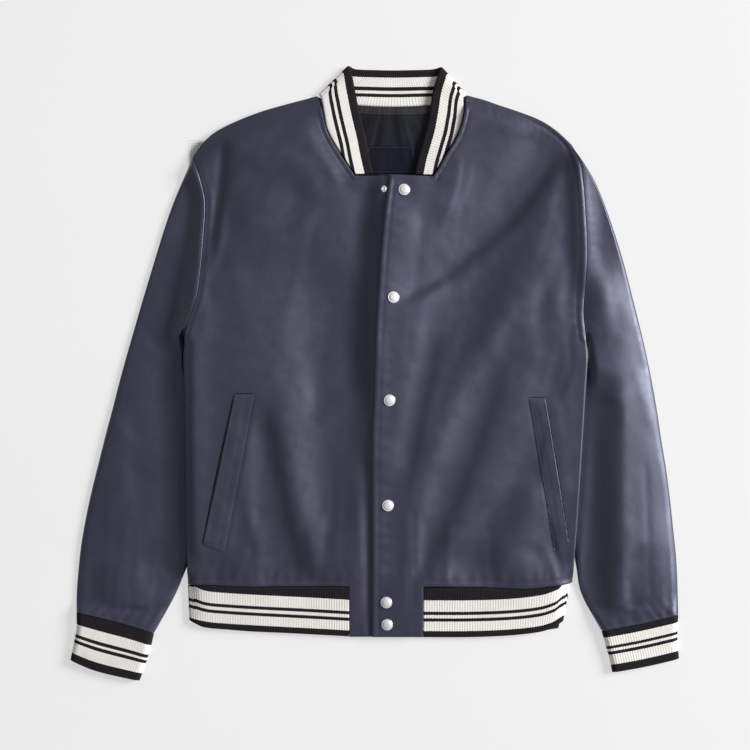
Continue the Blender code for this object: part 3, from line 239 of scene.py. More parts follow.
SLEEVE_FLANKS = {
    "right": [
        Flank(-255, 271, -300, -10, -4, 42, -5, 0.12, 0.3),
        Flank(-226, 269, -274, -6, -2.1, 18.9, -6.9, 0.15, 0.25),
        Flank(-324, -24, -295, -297, -6.5, 11.5, 1.5, 0.2, 0.12),
        Flank(-281, -198, -242, -282, -4.2, 12.7, -4.9, 0.3, 0.2),
        Flank(-272, -248, -291, -313, 10.6, 12.3, 1.7, 0.2, 0.12),
        Flank(-267, 163, -293, -53, -5.1, 15.4, -0.4, 0.3, 0.3),
        Flank(-351, -241, -348, -308, -8.2, 18.4, -4.1, 0.3, 0.12),
    ],
    "left": [
        Flank(244, 250, 383, -292, -3.6, 54.7, 1.5, 0.12, 0.12),
        Flank(327, 201, 291, 9, -1.9, 14.3, 1, 0.2, 0.15),
        Flank(290, 142, 260, -18, -7.6, 17.7, -4.8, 0.3, 0.2),
        Flank(304, 9, 306, -339, -6.2, 16.3, -6.9, 0.12, 0.12),
        Flank(322, 4, 346, -309, -9.6, 13.1, 1.9, 0.12, 0.12),
        Flank(351, -275, 344, -320, -6.3, 4, -0.5, 0.3, 0.12),
        Flank(304, -198, 374, -315, -5, 23.7, -3, 0.3, 0.25),
        Flank(331, -215, 324, -309, -5.1, 10.2, 3, 0.3, 0.12),
        Flank(275, -28, 250, -343, 4.7, 8.5, 3.6, 0.3, 0.2),
    ],
}
WELTS = [
    Welt("right", -182, -26, -223, -221, -157, -26, -195, -231),
    Welt("left", 220, -31, 251, -219, 198, -31, 232, -231),
]
CAPS = [P(37, 238), P(23, 99), P(18, -34), P(16, -170), P(14, -296), P(15, -325)]
STUD = P(11, 239)
LABEL_AT, LABEL_SIZE = P(19.5, 278.5), (61.0, 35.0)
LINING_FOLDS = [
    Fold(20 + 6 * k, 342, 20 + 22 * k + sway, 240 + 9 * abs(k), 4 + abs(k), high)
    for k, sway, high in (
        (-3, 5, 0.9), (-2, -4, 0.6), (-1, 6, 1.0), (0, -3, 0.5), (1, 4, 0.9), (2, -6, 1.1), (3, 2, 0.7),
    )
]

# creases too small for the solids
FINE_FOLDS = [
    Fold(-22, -172, -15, -336, 5, 0.9), Fold(46, -170, 46, -330, 6, 0.7), Fold(55, -180, 56, -330, 4, 0.6),
    Fold(-198, 312, -213, 98, 6, -0.8), Fold(214, 311, 257, 291, 6, -1.0),
    Fold(-90, 200, -120, 60, 12, 0.9),
    Fold(-60, 90, -80, -60, 12, -0.9), Fold(-200, 180, -160, 60, 14, 0.8), Fold(60, 200, 44, 20, 9, -0.8),
    Fold(110, 60, 60, -60, 9, 0.9), Fold(212, 60, 180, -60, 12, 0.9), Fold(240, 160, 200, 40, 12, -0.8),
    Fold(-150, -180, -170, -262, 7, -1.0), Fold(-60, -190, -72, -268, 7, -1.0),
    Fold(-44, -120, -52, -262, 7, 0.9),
    Fold(96, -200, 92, -268, 6, 1.0), Fold(146, -200, 152, -268, 6, -1.0),
    Fold(222, -226, 232, -262, 6, 1.0),
    Fold(-224, -230, -228, -266, 6, 1.0), Fold(-200, -240, -206, -268, 5, -0.8),
]
FINE_SLEEVE = {
    "right": [
        Fold(-280, 120, -306, 20, 9, 0.8), Fold(-300, 60, -262, 10, 7, -0.9),
        Fold(-340, -60, -300, -110, 8, 0.9),
        Fold(-330, -110, -288, -150, 7, -0.8), Fold(-346, -170, -350, -292, 6, 0.8),
        Fold(-316, -200, -318, -310, 5, -0.8),
        Fold(-334, -250, -338, -316, 4, 0.8), Fold(-280, -240, -290, -320, 5, -0.8),
        Fold(-376, -240, -378, -300, 4, 0.7),
    ],
    "left": [
        Fold(290, 160, 318, 60, 9, -0.8), Fold(286, -10, 320, -60, 7, 0.9), Fold(340, 0, 356, -60, 8, 0.8),
        Fold(310, -120, 322, -300, 7, 0.8), Fold(350, -120, 356, -300, 5, -0.8),
        Fold(384, -220, 386, -310, 4, 0.8),
        Fold(300, -250, 308, -322, 5, 0.9), Fold(330, -270, 334, -324, 4, -0.8),
        Fold(372, -280, 372, -320, 4, 0.7),
    ],
}

UNDERARM = 0.58
NECK_START, NECK_END = 0.42, 0.75
SIDES = ("right", "left")
SIGN = {"right": -1, "left": 1}


# ---------------------------------------------------------------- curves, patches, noise
def smooth(k):
    k = np.clip(k, 0.0, 1.0)
    return k * k * (3 - 2 * k)


def swell(d, middle, wide):
    """1 at the middle of a swelling, dying away on both sides of it."""
    return np.exp(-(((d - middle) / wide) ** 2))


def rise(k):
    k = np.clip(k, 0.0, 1.0)
    return 1 - (1 - k) ** 2


def hermite(pts, knot, t):
    """Points of a smooth curve through pts at their knots, read at each t."""
    t = np.clip(np.asarray(t, float), 0, 1)
    last = len(pts) - 1
    ahead = np.minimum(np.arange(last + 1) + 1, last)
    behind = np.maximum(np.arange(last + 1) - 1, 0)
    slope = (pts[ahead] - pts[behind]) / (knot[ahead] - knot[behind])[:, None]
    i = np.clip(np.searchsorted(knot, t, side="right") - 1, 0, last - 1)
    span = (knot[i + 1] - knot[i])[..., None]
    k = (t - knot[i])[..., None] / span
    return (
        pts[i] * (2 * k**3 - 3 * k**2 + 1) + slope[i] * span * (k**3 - 2 * k**2 + k)
        + pts[i + 1] * (3 * k**2 - 2 * k**3) + slope[i + 1] * span * (k**3 - k**2)
    )


def curve(rows):
    pts = np.array([tuple(r) for r in rows], float)
    run = np.concatenate([[0], np.cumsum(np.linalg.norm(np.diff(pts, axis=0), axis=1))])
    return lambda t: hermite(pts, run / run[-1], t)


def chain(*parts):
    def at(t):
        t = np.atleast_1d(np.asarray(t, float))
        out = np.zeros((len(t), 2))
        start = 0.0
        done = np.zeros(len(t), bool)
        for end, part in parts:
            here = ~done & (t <= end + 1e-9)
            out[here] = part((t[here] - start) / (end - start))
            done |= here
            start = end
        return out

    return at


def flip(part):
    return lambda t: part(1 - np.asarray(t, float))


def patch(bottom, top, left, right, us, vs):
    """Grid of points [row v, column u] between four boundary curves (Coons)."""
    us, vs = np.asarray(us, float), np.asarray(vs, float)
    b, t, l, r = bottom(us), top(us), left(vs), right(vs)
    u, v = us[None, :, None], vs[:, None, None]
    ends = np.array([0.0, 1.0])
    (b0, b1), (t0, t1) = bottom(ends), top(ends)
    return (
        b[None] * (1 - v) + t[None] * v + l[:, None] * (1 - u) + r[:, None] * u
        - b0 * (1 - u) * (1 - v) - b1 * u * (1 - v) - t0 * (1 - u) * v - t1 * u * v
    )


def away(x, y, line):
    """Distance from each point to a polyline."""
    best = np.full(np.shape(x), 1e9)
    for a, b in zip(line, line[1:]):
        dx, dy = b[0] - a[0], b[1] - a[1]
        k = np.clip(((x - a[0]) * dx + (y - a[1]) * dy) / (dx * dx + dy * dy), 0, 1)
        best = np.minimum(best, np.hypot(x - a[0] - k * dx, y - a[1] - k * dy))
    return best


def folded(x, y, rows):
    total = np.zeros(np.shape(x))
    for f in rows:
        d = away(x, y, ((f.x0, f.y0), (f.x1, f.y1)))
        total += np.where(d < 3 * f.wide, f.high * np.exp(-((d / f.wide) ** 2)), 0)
    return total


def flanked(x, y, rows):
    """Height that flanks add: each is a step across its line that dies away on both sides."""
    total = np.zeros(np.shape(x))
    for f in rows:
        span = math.hypot(f.x1 - f.x0, f.y1 - f.y0)
        ax, ay = (f.x1 - f.x0) / span, (f.y1 - f.y0) / span
        t = ((x - f.x0) * ax + (y - f.y0) * ay) / span
        d = (ax * (y - f.y0) - ay * (x - f.x0) - f.bow * 4 * t * (1 - t)) / f.wide
        fade = smooth(t / f.fade0) * smooth((1 - t) / f.fade1)
        total -= f.drop * np.tanh(d) * swell(d, 0, 3.5) * fade
    return total


def lesser(a, b, soft=1.0):
    """The smaller of two heights, rounded where they cross."""
    return -soft * np.logaddexp(-a / soft, -b / soft)


def wander(x, y, size, seed):
    """Smooth noise of about -1 to 1, over cells of a size."""
    grid = np.random.default_rng(seed).uniform(-1, 1, (64, 64))
    fx, fy = x / size + 29.3, y / size + 31.7
    i, j = np.floor(fx).astype(int), np.floor(fy).astype(int)
    u, v = fx - i, fy - j
    u, v = u * u * u * (u * (u * 6 - 15) + 10), v * v * v * (v * (v * 6 - 15) + 10)

    def corner(a, b):
        return grid[(i + a) % 64, (j + b) % 64]

    near = corner(0, 0) * (1 - u) + corner(1, 0) * u
    far = corner(0, 1) * (1 - u) + corner(1, 1) * u
    return near * (1 - v) + far * v


# ---------------------------------------------------------------- heights
def polyline(at, n=24):
    return at(np.arange(n + 1) / n)


side_line = {s: polyline(curve(SIDE[s])) for s in SIDES}
arm_line = {s: polyline(curve(ARMHOLE[s])) for s in SIDES}
shoulder_line = {s: polyline(curve(SHOULDER[s])) for s in SIDES}
neck_line = {s: polyline(curve(NECK_FRONT[s])) for s in SIDES}
lead_line = {s: polyline(curve(LEAD[s])) for s in SIDES}
hem_line = {s: polyline(curve(HEM_LINE[s])) for s in SIDES}
rails = {s: curve(SLEEVE[s]) for s in SIDES}
outer_line = {s: polyline(rails[s], 48)[:, :2] for s in SIDES}
inner_line = {s: polyline(rails[s], 48)[:, 2:] for s in SIDES}


def crossing(line, y):
    order = np.argsort(line[:, 1])
    return np.interp(y, line[order, 1], line[order, 0])


def past_tuck(x, y, s):
    line = inner_line[s]
    inside = (y >= TUCK_END_Y) & (y <= PIT_Y) & ((x - crossing(line, y)) * SIGN[s] >= 0)
    return np.where(inside, 0.0, away(x, y, line[line[:, 1] >= TUCK_END_Y]))


def back_under(x, y):
    tuck = np.maximum(*[TUCK_CLEAR[s] * (1 - smooth((past_tuck(x, y, s) - 16) / 18)) for s in SIDES])
    tuck = tuck * smooth((y + 272) / 20)
    roll = np.maximum(*[1 - rise(away(x, y, shoulder_line[s]) / 13) for s in SIDES])
    return np.maximum(tuck, SHOULDER_LIFT * roll)


def front_share(x, y):
    """0 along the sides and shoulders, 1 past the roll."""
    roll = np.minimum(*[away(x, y, shoulder_line[s]) for s in SIDES])
    side = np.where(x < 0, *[SIDE_ROLL_QUICK[s] * away(x, y, side_line[s]) for s in SIDES])
    side = side + np.maximum(0.0, y - 40) * 2
    roll = np.where(y < 60, np.minimum(roll, side), roll)
    return rise(roll / EDGE_ROLL)


def front_top(x, y):
    edge = back_under(x, y) + 2.3 * CLOTH + 1.5 * GAP
    neck = np.minimum(away(x, y, neck_line["right"]), away(x, y, neck_line["left"]))
    full = HEM_TOP + (TORSO_TOP - HEM_TOP) * smooth((y + 348) / 110)
    full = full + flanked(x, y, FRONT_FLANKS) * smooth(neck / 26) * smooth((y + 362) / 90)
    full = -lesser(-full, -edge + 0.5)
    return edge + (full - edge) * front_share(x, y)


def overlap_lift(x, y):
    """How far the left front stands above the right one, higher along the upper placket."""
    more = 2.2 * smooth((y + 40) / 100) * smooth((246 - y) / 60)
    return (CLOTH + 1.0) * (1 - smooth((x - 46) / 90)) + more * (1 - smooth((x - 10) / 110))


def rumple(x, y, seed):
    """Soft unevenness of lined satin that has been smoothed by hand."""
    bend = 14 * wander(x, y, 90, seed + 7)
    return (
        0.6 * wander(x + bend, y * 0.45, 46, seed)
        + 0.28 * wander(x * 0.8 + y * 0.35, y * 0.6 - x * 0.3 + bend, 27, seed + 1)
        + 0.09 * wander(x + bend, y * 0.7, 13, seed + 2) + 0.03 * wander(x, y, 7, seed + 3)
    )


def gathers(run, pitch, seed):
    """Uneven puckers along a seam."""
    level = 0 * run
    turns = run / pitch + 0.55 * wander(run, level, 2.3 * pitch, seed)
    return np.sin(2 * math.pi * turns) * (0.65 + 0.35 * wander(run, level, 3.1 * pitch, seed + 1))


def front_detail(x, y):
    """Small forms on the fronts: rumples, creases, puckers at the seams."""
    arm = np.where(x < 0, away(x, y, arm_line["right"]), away(x, y, arm_line["left"]))
    hem = np.where(x < 16, away(x, y, hem_line["right"]), away(x, y, hem_line["left"]))
    hem = np.where((x > TAB_X[0] - 4) & (x < TAB_X[1] + 4) & (y < -262), 60, hem)
    neck = np.minimum(away(x, y, neck_line["right"]), away(x, y, neck_line["left"]))
    shoulder = np.minimum(away(x, y, shoulder_line["right"]), away(x, y, shoulder_line["left"]))
    still = smooth(arm / 9) * smooth(hem / 7) * smooth(neck / 7)
    z = (rumple(x, y, 11) + 0.6 * folded(x, y, FINE_FOLDS)) * still
    ditch = 0.4 * swell(arm, 7.5, 2.5) - 0.45 * swell(arm, 3, 2)
    ridge = 1.2 * swell(arm, 4.2, 2.2) - 0.6 * swell(arm, 8.6, 2)
    z += np.where(x < 0, ditch, ridge)
    z += 0.3 * gathers(y, 12.5, 31) * swell(arm, 9, 8) * smooth(arm / 3)
    z += 0.45 * gathers(x, 15.5, 41) * swell(hem, 10, 12) * smooth(hem / 7)
    z += 0.45 * swell(hem, 2.2, 1.8) - 0.45 * swell(hem, 5.6, 1.4)
    z += 0.35 * swell(neck, 2.6, 1.7) - 0.4 * swell(neck, 5.6, 1.3)
    z += 0.3 * gathers(y, 11.0, 51) * swell(neck, 8, 8) * smooth(neck / 5)
    z *= front_share(x, y) * 0.85 + 0.15
    z *= smooth(shoulder / 6) * 0.9 + 0.1
    seam = 0.5 * swell(shoulder, 2.6, 1.8) - 0.7 * swell(shoulder, 6.2, 1.7)
    pucker = 0.35 * gathers(x, 9.0, 57) * swell(shoulder, 11, 6) * smooth(shoulder / 7)
    return z + (seam + pucker) * smooth(x / 60) * smooth(arm / 8) + beside_welts(x, y)


def beside_welts(x, y):
    """The cloth stands a little above a welt's inner edge."""
    z = 0 * x
    for row, height in zip(WELTS, BESIDE_WELT):
        past = (crossing(welt_edges(row)[1], y) - x) * SIGN[row.side]
        along = smooth((row.in_y0 + 6 - y) / 24) * smooth((y - row.in_y1 + 6) / 24)
        z = z + height * smooth((past + 0.5) / 3.2) * np.exp(-((np.maximum(0.0, past) / 26) ** 2)) * along
    return z


def lead_detail(x, y):
    """The left front's facing: rolled edge, stitch groove beside it."""
    d = away(x, y, np.vstack([[-4, -342], lead_line["left"], [75, 256]]))
    roll = 0.55 * swell(d, 2.9, 2.2) - 0.55 * swell(d, 6.6, 1.2)
    low = 0.4 * gathers(y, 19.0, 61) * swell(d, 14, 9)
    return roll + low


def front_skin(x, y, s):
    z = front_top(x, y) + front_detail(x, y)
    if s == "left":
        z = z + overlap_lift(x, y) + lead_detail(x, y)
    return z


def left_top(x, y):
    return front_skin(x, y, "left")


def right_top(x, y):
    return front_skin(x, y, "right")


skin_of = {"right": right_top, "left": left_top}


def sleeve_skin(s, x, y, v, d_in, d_out):
    edge = SLEEVE_EDGE[s] + (9 * smooth((y - 90) / 110) if s == "left" else 0.0)
    arm = away(x, y, arm_line[s])
    full = edge + (SLEEVE_TOP[s] - edge) * rise(away(x, y, outer_line[s]) / SLEEVE_ROLL[s])
    k = smooth(arm / 34)
    level = np.maximum(y, PIT_Y)
    at_seam = flanked(crossing(arm_line[s], level), level, SLEEVE_FLANKS[s])
    relief = flanked(x, y, SLEEVE_FLANKS[s]) - at_seam * (1 - smooth(arm / 55))
    free = front_top(x, y) * (1 - k) + full * k + relief
    free = free + (CUFF_TOP - free) * smooth((v - 0.93) / 0.07)
    free = -lesser(-free, -LEAST_SLEEVE)
    end = (1 - v) * SLEEVE_LONG
    near = np.minimum(d_in, d_out)
    fine = 0.6 * rumple(x, y, 71 if s == "left" else 81) + 0.5 * folded(x, y, FINE_SLEEVE[s])
    fine = fine * smooth(arm / 9) * smooth(end / 8)
    pucker = 0.2 if s == "right" else 0.08
    fine = fine + pucker * gathers(y, 11.5, 91) * swell(arm, 8, 7) * smooth(arm / 3)
    if s == "right":
        fine = fine + 1.1 * swell(arm, 5.0, 2.8)
    fine = fine + 0.35 * gathers(d_in, 15.5, 95 + SIGN[s]) * swell(end, 0, 30) * smooth(end / 6)
    fine = fine + 0.4 * swell(end, 2.4, 1.6) - 0.35 * swell(end, 5.4, 1.2)
    free = free + fine * smooth(near / 12)
    out = (x - crossing(side_line[s], np.minimum(y, PIT_Y))) * SIGN[s]
    start, reach = TUCK_FREE[s]
    climb = TUCK_RISE[s] + 1.2 * smooth((y - start) / reach)
    low = TUCK_TOP[s] - TUCK_DIP[s] * smooth((out + 1) / 34)
    low = low + climb * np.maximum(0.0, out - 2) + 0.02 * np.maximum(0.0, out - 20) ** 1.5
    low = low + 0.9 * np.maximum(0.0, y - PIT_Y) + 0.8 * np.maximum(0.0, TUCK_END_Y - 8 - y)
    return lesser(free, low, 1.2)


# ---------------------------------------------------------------- meshes
def add_object(name, data):
    obj = bpy.data.objects.new(name, data)
    bpy.context.scene.collection.objects.link(obj)
    return obj


def write_piece(name, verts, faces, mat, nodes=(), uv=None):
    """A mesh from points in mm, riding on the body, in place of its nodes."""
    verts = np.asarray(verts, float).copy()
    verts[:, 0] -= CENTRE[0]
    verts[:, 1] -= CENTRE[1]
    mesh = bpy.data.meshes.new(name)
    mesh.from_pydata((verts * MM).tolist(), [], [tuple(f) for f in faces])
    if uv is not None:
        layer = mesh.uv_layers.new(name="UVMap")
        index = np.zeros(len(mesh.loops), int)
        mesh.loops.foreach_get("vertex_index", index)
        layer.data.foreach_set("uv", np.asarray(uv, float)[index].ravel())
    bm = bmesh.new()
    bm.from_mesh(mesh)
    bmesh.ops.recalc_face_normals(bm, faces=bm.faces)
    bm.to_mesh(mesh)
    bm.free()
    mesh.polygons.foreach_set("use_smooth", np.ones(len(mesh.polygons), bool))
    mesh.materials.append(mat)
    obj = add_object(name, mesh)
    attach(obj, "root")
    if nodes:
        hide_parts(*nodes)
    return obj


def rim_loops(mask):
    """Closed loops of grid vertices round the cells of a mask, cells on their left."""
    width = mask.shape[1] + 1
    have = set(map(tuple, np.argwhere(mask)))
    ahead = {}
    for j, i in have:
        ring = [(j, i), (j, i + 1), (j + 1, i + 1), (j + 1, i)]
        for (p, q), (dj, di) in zip(zip(ring, ring[1:] + ring[:1]), ((-1, 0), (0, 1), (1, 0), (0, -1))):
            if (j + dj, i + di) not in have:
                ahead[p] = q
    loops = []
    while ahead:
        start = next(iter(ahead))
        loop, at = [], start
        while at in ahead:
            loop.append(at[0] * width + at[1])
            at = ahead.pop(at)
        loops.append(np.array(loop))
    return loops


def wall(name, pts, top, thick, mat, nodes, mask=None, wrap=None, inset=0.8, under=None):
    """A closed shell under top(x, y), over a plan grid or its masked cells, with rounded rims.

    Where wrap says so, the rim folds down over what lies below. Its underside stays above under.
    """
    nj, ni = pts.shape[:2]
    n = nj * ni
    if mask is None:
        mask = np.ones((nj - 1, ni - 1), bool)
    flat = pts.reshape(n, 2)
    upper, lower = flat.copy(), flat.copy()
    du = pts[:, 1:] - pts[:, :-1]
    dv = pts[1:] - pts[:-1]
    turn = np.sign(np.nansum(du[:-1, :, 0] * dv[:, :-1, 1] - du[:-1, :, 1] * dv[:, :-1, 0]))
    loops = rim_loops(mask)
    rims = []
    for loop in loops:
        p = flat[loop]
        t = np.roll(p, -1, 0) - np.roll(p, 1, 0)
        t /= np.linalg.norm(t, axis=1)[:, None]
        inward = np.stack([-t[:, 1], t[:, 0]], 1) * turn
        folds = wrap(loop // ni, loop % ni) if wrap else np.zeros(len(loop), bool)
        upper[loop] = p + inward * inset
        lower[loop] = p + inward * np.where(folds, 2.2, inset)[:, None]
        rims.append((loop, p, inward, folds))
    used = np.zeros(n, bool)
    for dj in (0, 1):
        for di in (0, 1):
            used.reshape(nj, ni)[dj:nj - 1 + dj, di:ni - 1 + di] |= mask
    z_up = np.zeros(n)
    z_up[used] = top(upper[used, 0], upper[used, 1])
    z_low = np.zeros(n)
    z_low[used] = np.maximum(top(lower[used, 0], lower[used, 1]) - thick, 0.0)
    if under is not None:
        z_low[used] = np.maximum(z_low[used], under(lower[used, 0], lower[used, 1]))
    verts = [np.column_stack([upper, z_up]), np.column_stack([lower, z_low])]
    row, col = np.nonzero(mask)
    a = row * ni + col
    quads = np.stack([a, a + 1, a + ni + 1, a + ni], 1)
    faces = [quads, quads[:, ::-1] + n]
    count = 2 * n
    for loop, p, inward, folds in rims:
        zt, zb = z_up[loop], z_low[loop]
        bottom = np.where(folds, back_under(p[:, 0], p[:, 1]) + 0.15, zb)
        mid, half = (zt + bottom) / 2, (zt - bottom) / 2
        rings = [loop]
        for share in (0.22, 0.45, 0.66, 0.86):
            angle = math.pi * np.where(folds, share / 0.86, share)
            out = inset * (1 - np.sin(angle))
            ring = np.column_stack([p + inward * out[:, None], mid + half * np.cos(angle)])
            verts.append(ring)
            rings.append(count + np.arange(len(loop)))
            count += len(loop)
        rings.append(loop + n)
        for one, two in zip(rings, rings[1:]):
            faces.append(np.stack([one, two, np.roll(two, -1), np.roll(one, -1)], 1))
    verts, faces = np.vstack(verts), np.vstack(faces)
    keep = np.zeros(len(verts), bool)
    keep[faces.ravel()] = True
    number = np.cumsum(keep) - 1
    return write_piece(name, verts[keep], number[faces].tolist(), mat, nodes)


def tube(name, vs, plan, height, wall_mm, us_up, us_low, mat, nodes, rib=None, length=1.0):
    """A flattened tube as a closed wall.

    plan(us, vs) is its outline and height(x, y, v, d_in, d_out) its top.
    """
    vs = np.asarray(vs, float)
    ends = plan(np.array([0.0, 1.0]), vs)
    width = np.linalg.norm(ends[:, 1] - ends[:, 0], axis=1)[:, None]

    def layer(us, inner, is_low):
        us = np.asarray(us, float)
        inset = 1.3 * wall_mm / width if inner else 0 * width
        w = inset + us[None] * (1 - 2 * inset)
        pts = np.stack([plan(row, vs[k:k + 1])[0] for k, row in enumerate(w)])
        d_in, d_out = us[None] * width, (1 - us[None]) * width
        top = height(pts[..., 0], pts[..., 1], vs[:, None] + 0 * w, d_in, d_out)
        edge = np.minimum(4.0, top / 2)
        d = np.minimum(d_in, d_out)
        if is_low:
            z = edge * (1 - np.sqrt(1 - (1 - np.minimum(d / 5, 1)) ** 2))
            if inner:
                z = np.minimum(z + wall_mm, edge - 0.15)
        else:
            z = edge + (top - edge) * np.sqrt(1 - (1 - np.minimum(d / 9, 1)) ** 2)
            if inner:
                z = np.maximum(z - wall_mm, edge + np.where((us > 0) & (us < 1), 0.15, 0.0)[None])
            elif rib is not None:
                z = z + rib(us[None] * width, d)
        return np.dstack([pts, z]), us[None] * width

    rings, around = [], []
    for inner in (False, True):
        top_part, run_a = layer(us_up, inner, False)
        low_part, run_b = layer(us_low[1:-1][::-1], inner, True)
        rings.append(np.concatenate([top_part, low_part], axis=1))
        around.append(np.concatenate([run_a, 2 * width - run_b], axis=1))
    outer, inner = rings
    nv, nr = outer.shape[:2]
    lip = 0.5  # both ends are rounded by this much
    faces = []
    a = (np.arange(nv - 1)[:, None] * nr + np.arange(nr)[None]).ravel()
    b = (np.arange(nv - 1)[:, None] * nr + (np.arange(nr)[None] + 1) % nr).ravel()
    quad = np.stack([a, b, b + nr, a + nr], 1)
    faces += [quad, quad[:, ::-1] + nv * nr]
    verts = [outer.reshape(-1, 3), inner.reshape(-1, 3)]
    count = 2 * nv * nr
    run = [around[0].ravel(), around[1].ravel()]
    along = [np.repeat(vs, nr), np.repeat(vs, nr)]
    for end, near in ((0, 1), (nv - 1, nv - 2)):
        back = outer[near] - outer[end]
        back /= np.linalg.norm(back, axis=1)[:, None]
        # the skins' end rings step back, and a middle ring keeps the end's place
        middle = (outer[end] + inner[end]) / 2
        verts[0][end * nr:(end + 1) * nr] = outer[end] + back * lip
        verts[1][end * nr:(end + 1) * nr] = inner[end] + back * lip
        verts.append(middle)
        ring = count + np.arange(nr)
        count += nr
        run.append(around[0][end])
        along.append(np.full(nr, vs[end]))
        one, two = end * nr + np.arange(nr), nv * nr + end * nr + np.arange(nr)
        for p, q in ((one, ring), (ring, two)):
            faces.append(np.stack([p, q, np.roll(q, -1), np.roll(p, -1)], 1))
    verts = np.vstack(verts)
    verts[:, 2] = np.maximum(verts[:, 2], 0)
    uv = np.column_stack([np.concatenate(run) * MM, (1 - np.concatenate(along)) * length * STRIPE_SCALE])
    return write_piece(name, verts, np.vstack(faces).tolist(), mat, nodes, uv)


def shares(parts):
    """Shares from 0 to 1 in stretches of (end, count)."""
    out, start = [0.0], 0.0
    for end, n in parts:
        out += [start + (end - start) * (k + 1) / n for k in range(n)]
        start = end
    return np.array(out)


def eased(n, ease):
    k = np.arange(n + 1) / n
    return (1 - ease) * k + ease * (1 - np.cos(math.pi * k)) / 2


# ---------------------------------------------------------------- materials
def new_material(name):
    mat = bpy.data.materials.new(name)
    mat.use_nodes = True
    tree = mat.node_tree
    shader = tree.nodes["Principled BSDF"]
    return mat, tree, shader


def feed(tree, n, values):
    """Set a node's sockets, by name or number, to plain values or link them to other nodes' outputs."""
    for key, value in values.items():
        if isinstance(value, bpy.types.NodeSocket):
            tree.links.new(value, n.inputs[key])
        else:
            n.inputs[key].default_value = value


def node(tree, kind, inputs=None, **settings):
    n = tree.nodes.new(kind)
    for key, value in settings.items():
        setattr(n, key, value)
    feed(tree, n, inputs or {})
    return n


def noise(tree, where, scale, detail=2.0, rough=0.5):
    inputs = {"Scale": scale, "Detail": detail, "Roughness": rough, "Vector": where}
    return node(tree, "ShaderNodeTexNoise", inputs).outputs["Fac"]


def maths(tree, op, *values):
    return node(tree, "ShaderNodeMath", dict(enumerate(values)), operation=op).outputs[0]


def spread_to(tree, value, low, high, a=0.3, b=0.7):
    inputs = {"Value": value, "From Min": a, "From Max": b, "To Min": low, "To Max": high}
    return node(tree, "ShaderNodeMapRange", inputs).outputs["Result"]


def mix_colour(tree, share, a, b):
    return node(tree, "ShaderNodeMix", {0: share, 6: a, 7: b}, data_type="RGBA").outputs[2]


def bump(tree, height, strength, distance, under=None):
    inputs = {"Strength": strength, "Distance": distance, "Height": height}
    if under is not None:
        inputs["Normal"] = under
    return node(tree, "ShaderNodeBump", inputs).outputs["Normal"]


def object_coords(tree):
    return node(tree, "ShaderNodeTexCoord").outputs["Object"]


def satin(name, deep, pale, rough, sheen, gloss=0.8):
    """Woven satin: fine diagonal floats, slubs, mottled wear."""
    mat, tree, shader = new_material(name)
    at = object_coords(tree)
    broad = noise(tree, at, 9.0, 3.0, 0.55)
    cloud = noise(tree, at, 46.0, 3.0, 0.5)
    shade = maths(tree, "ADD", maths(tree, "MULTIPLY", broad, 0.55), maths(tree, "MULTIPLY", cloud, 0.45))
    colour = mix_colour(tree, spread_to(tree, shade, 0.0, 1.0, 0.36, 0.64), deep, pale)
    slanted = node(tree, "ShaderNodeMapping", {"Rotation": (0, 0, 0.42), "Vector": at}).outputs[0]
    inputs = {"Scale": 420.0, "Distortion": 1.2, "Detail": 1.0, "Vector": slanted}
    floats = node(tree, "ShaderNodeTexWave", inputs).outputs["Fac"]
    slub = node(tree, "ShaderNodeMapping", {"Scale": (1.0, 0.08, 1.0), "Vector": at}).outputs[0]
    threads = noise(tree, slub, 1500.0, 2.0, 0.6)
    dark = tuple(0.55 * c for c in deep[:3]) + (1,)
    grain = mix_colour(tree, spread_to(tree, threads, 0.0, 0.22), colour, dark)
    wear = spread_to(tree, noise(tree, at, 60.0, 4.0, 0.6), rough - 0.05, rough + 0.06)
    weave = bump(tree, floats, 0.22, 0.00012)
    weave = bump(tree, threads, 0.3, 0.00015, weave)
    soft = bump(tree, noise(tree, at, 75.0, 3.0, 0.55), 0.12, 0.0010, weave)
    feed(tree, shader, {
        "Base Color": grain, "Roughness": wear, "Normal": soft,
        "Sheen Weight": sheen, "Sheen Roughness": 0.35, "Sheen Tint": (0.6, 0.66, 1.0, 1),
        "Specular IOR Level": gloss, "Specular Tint": (0.76, 0.78, 1.0, 1),
    })
    return mat


INK = (0.0155, 0.0135, 0.0155, 1)
CREAM = (0.86, 0.835, 0.79, 1)


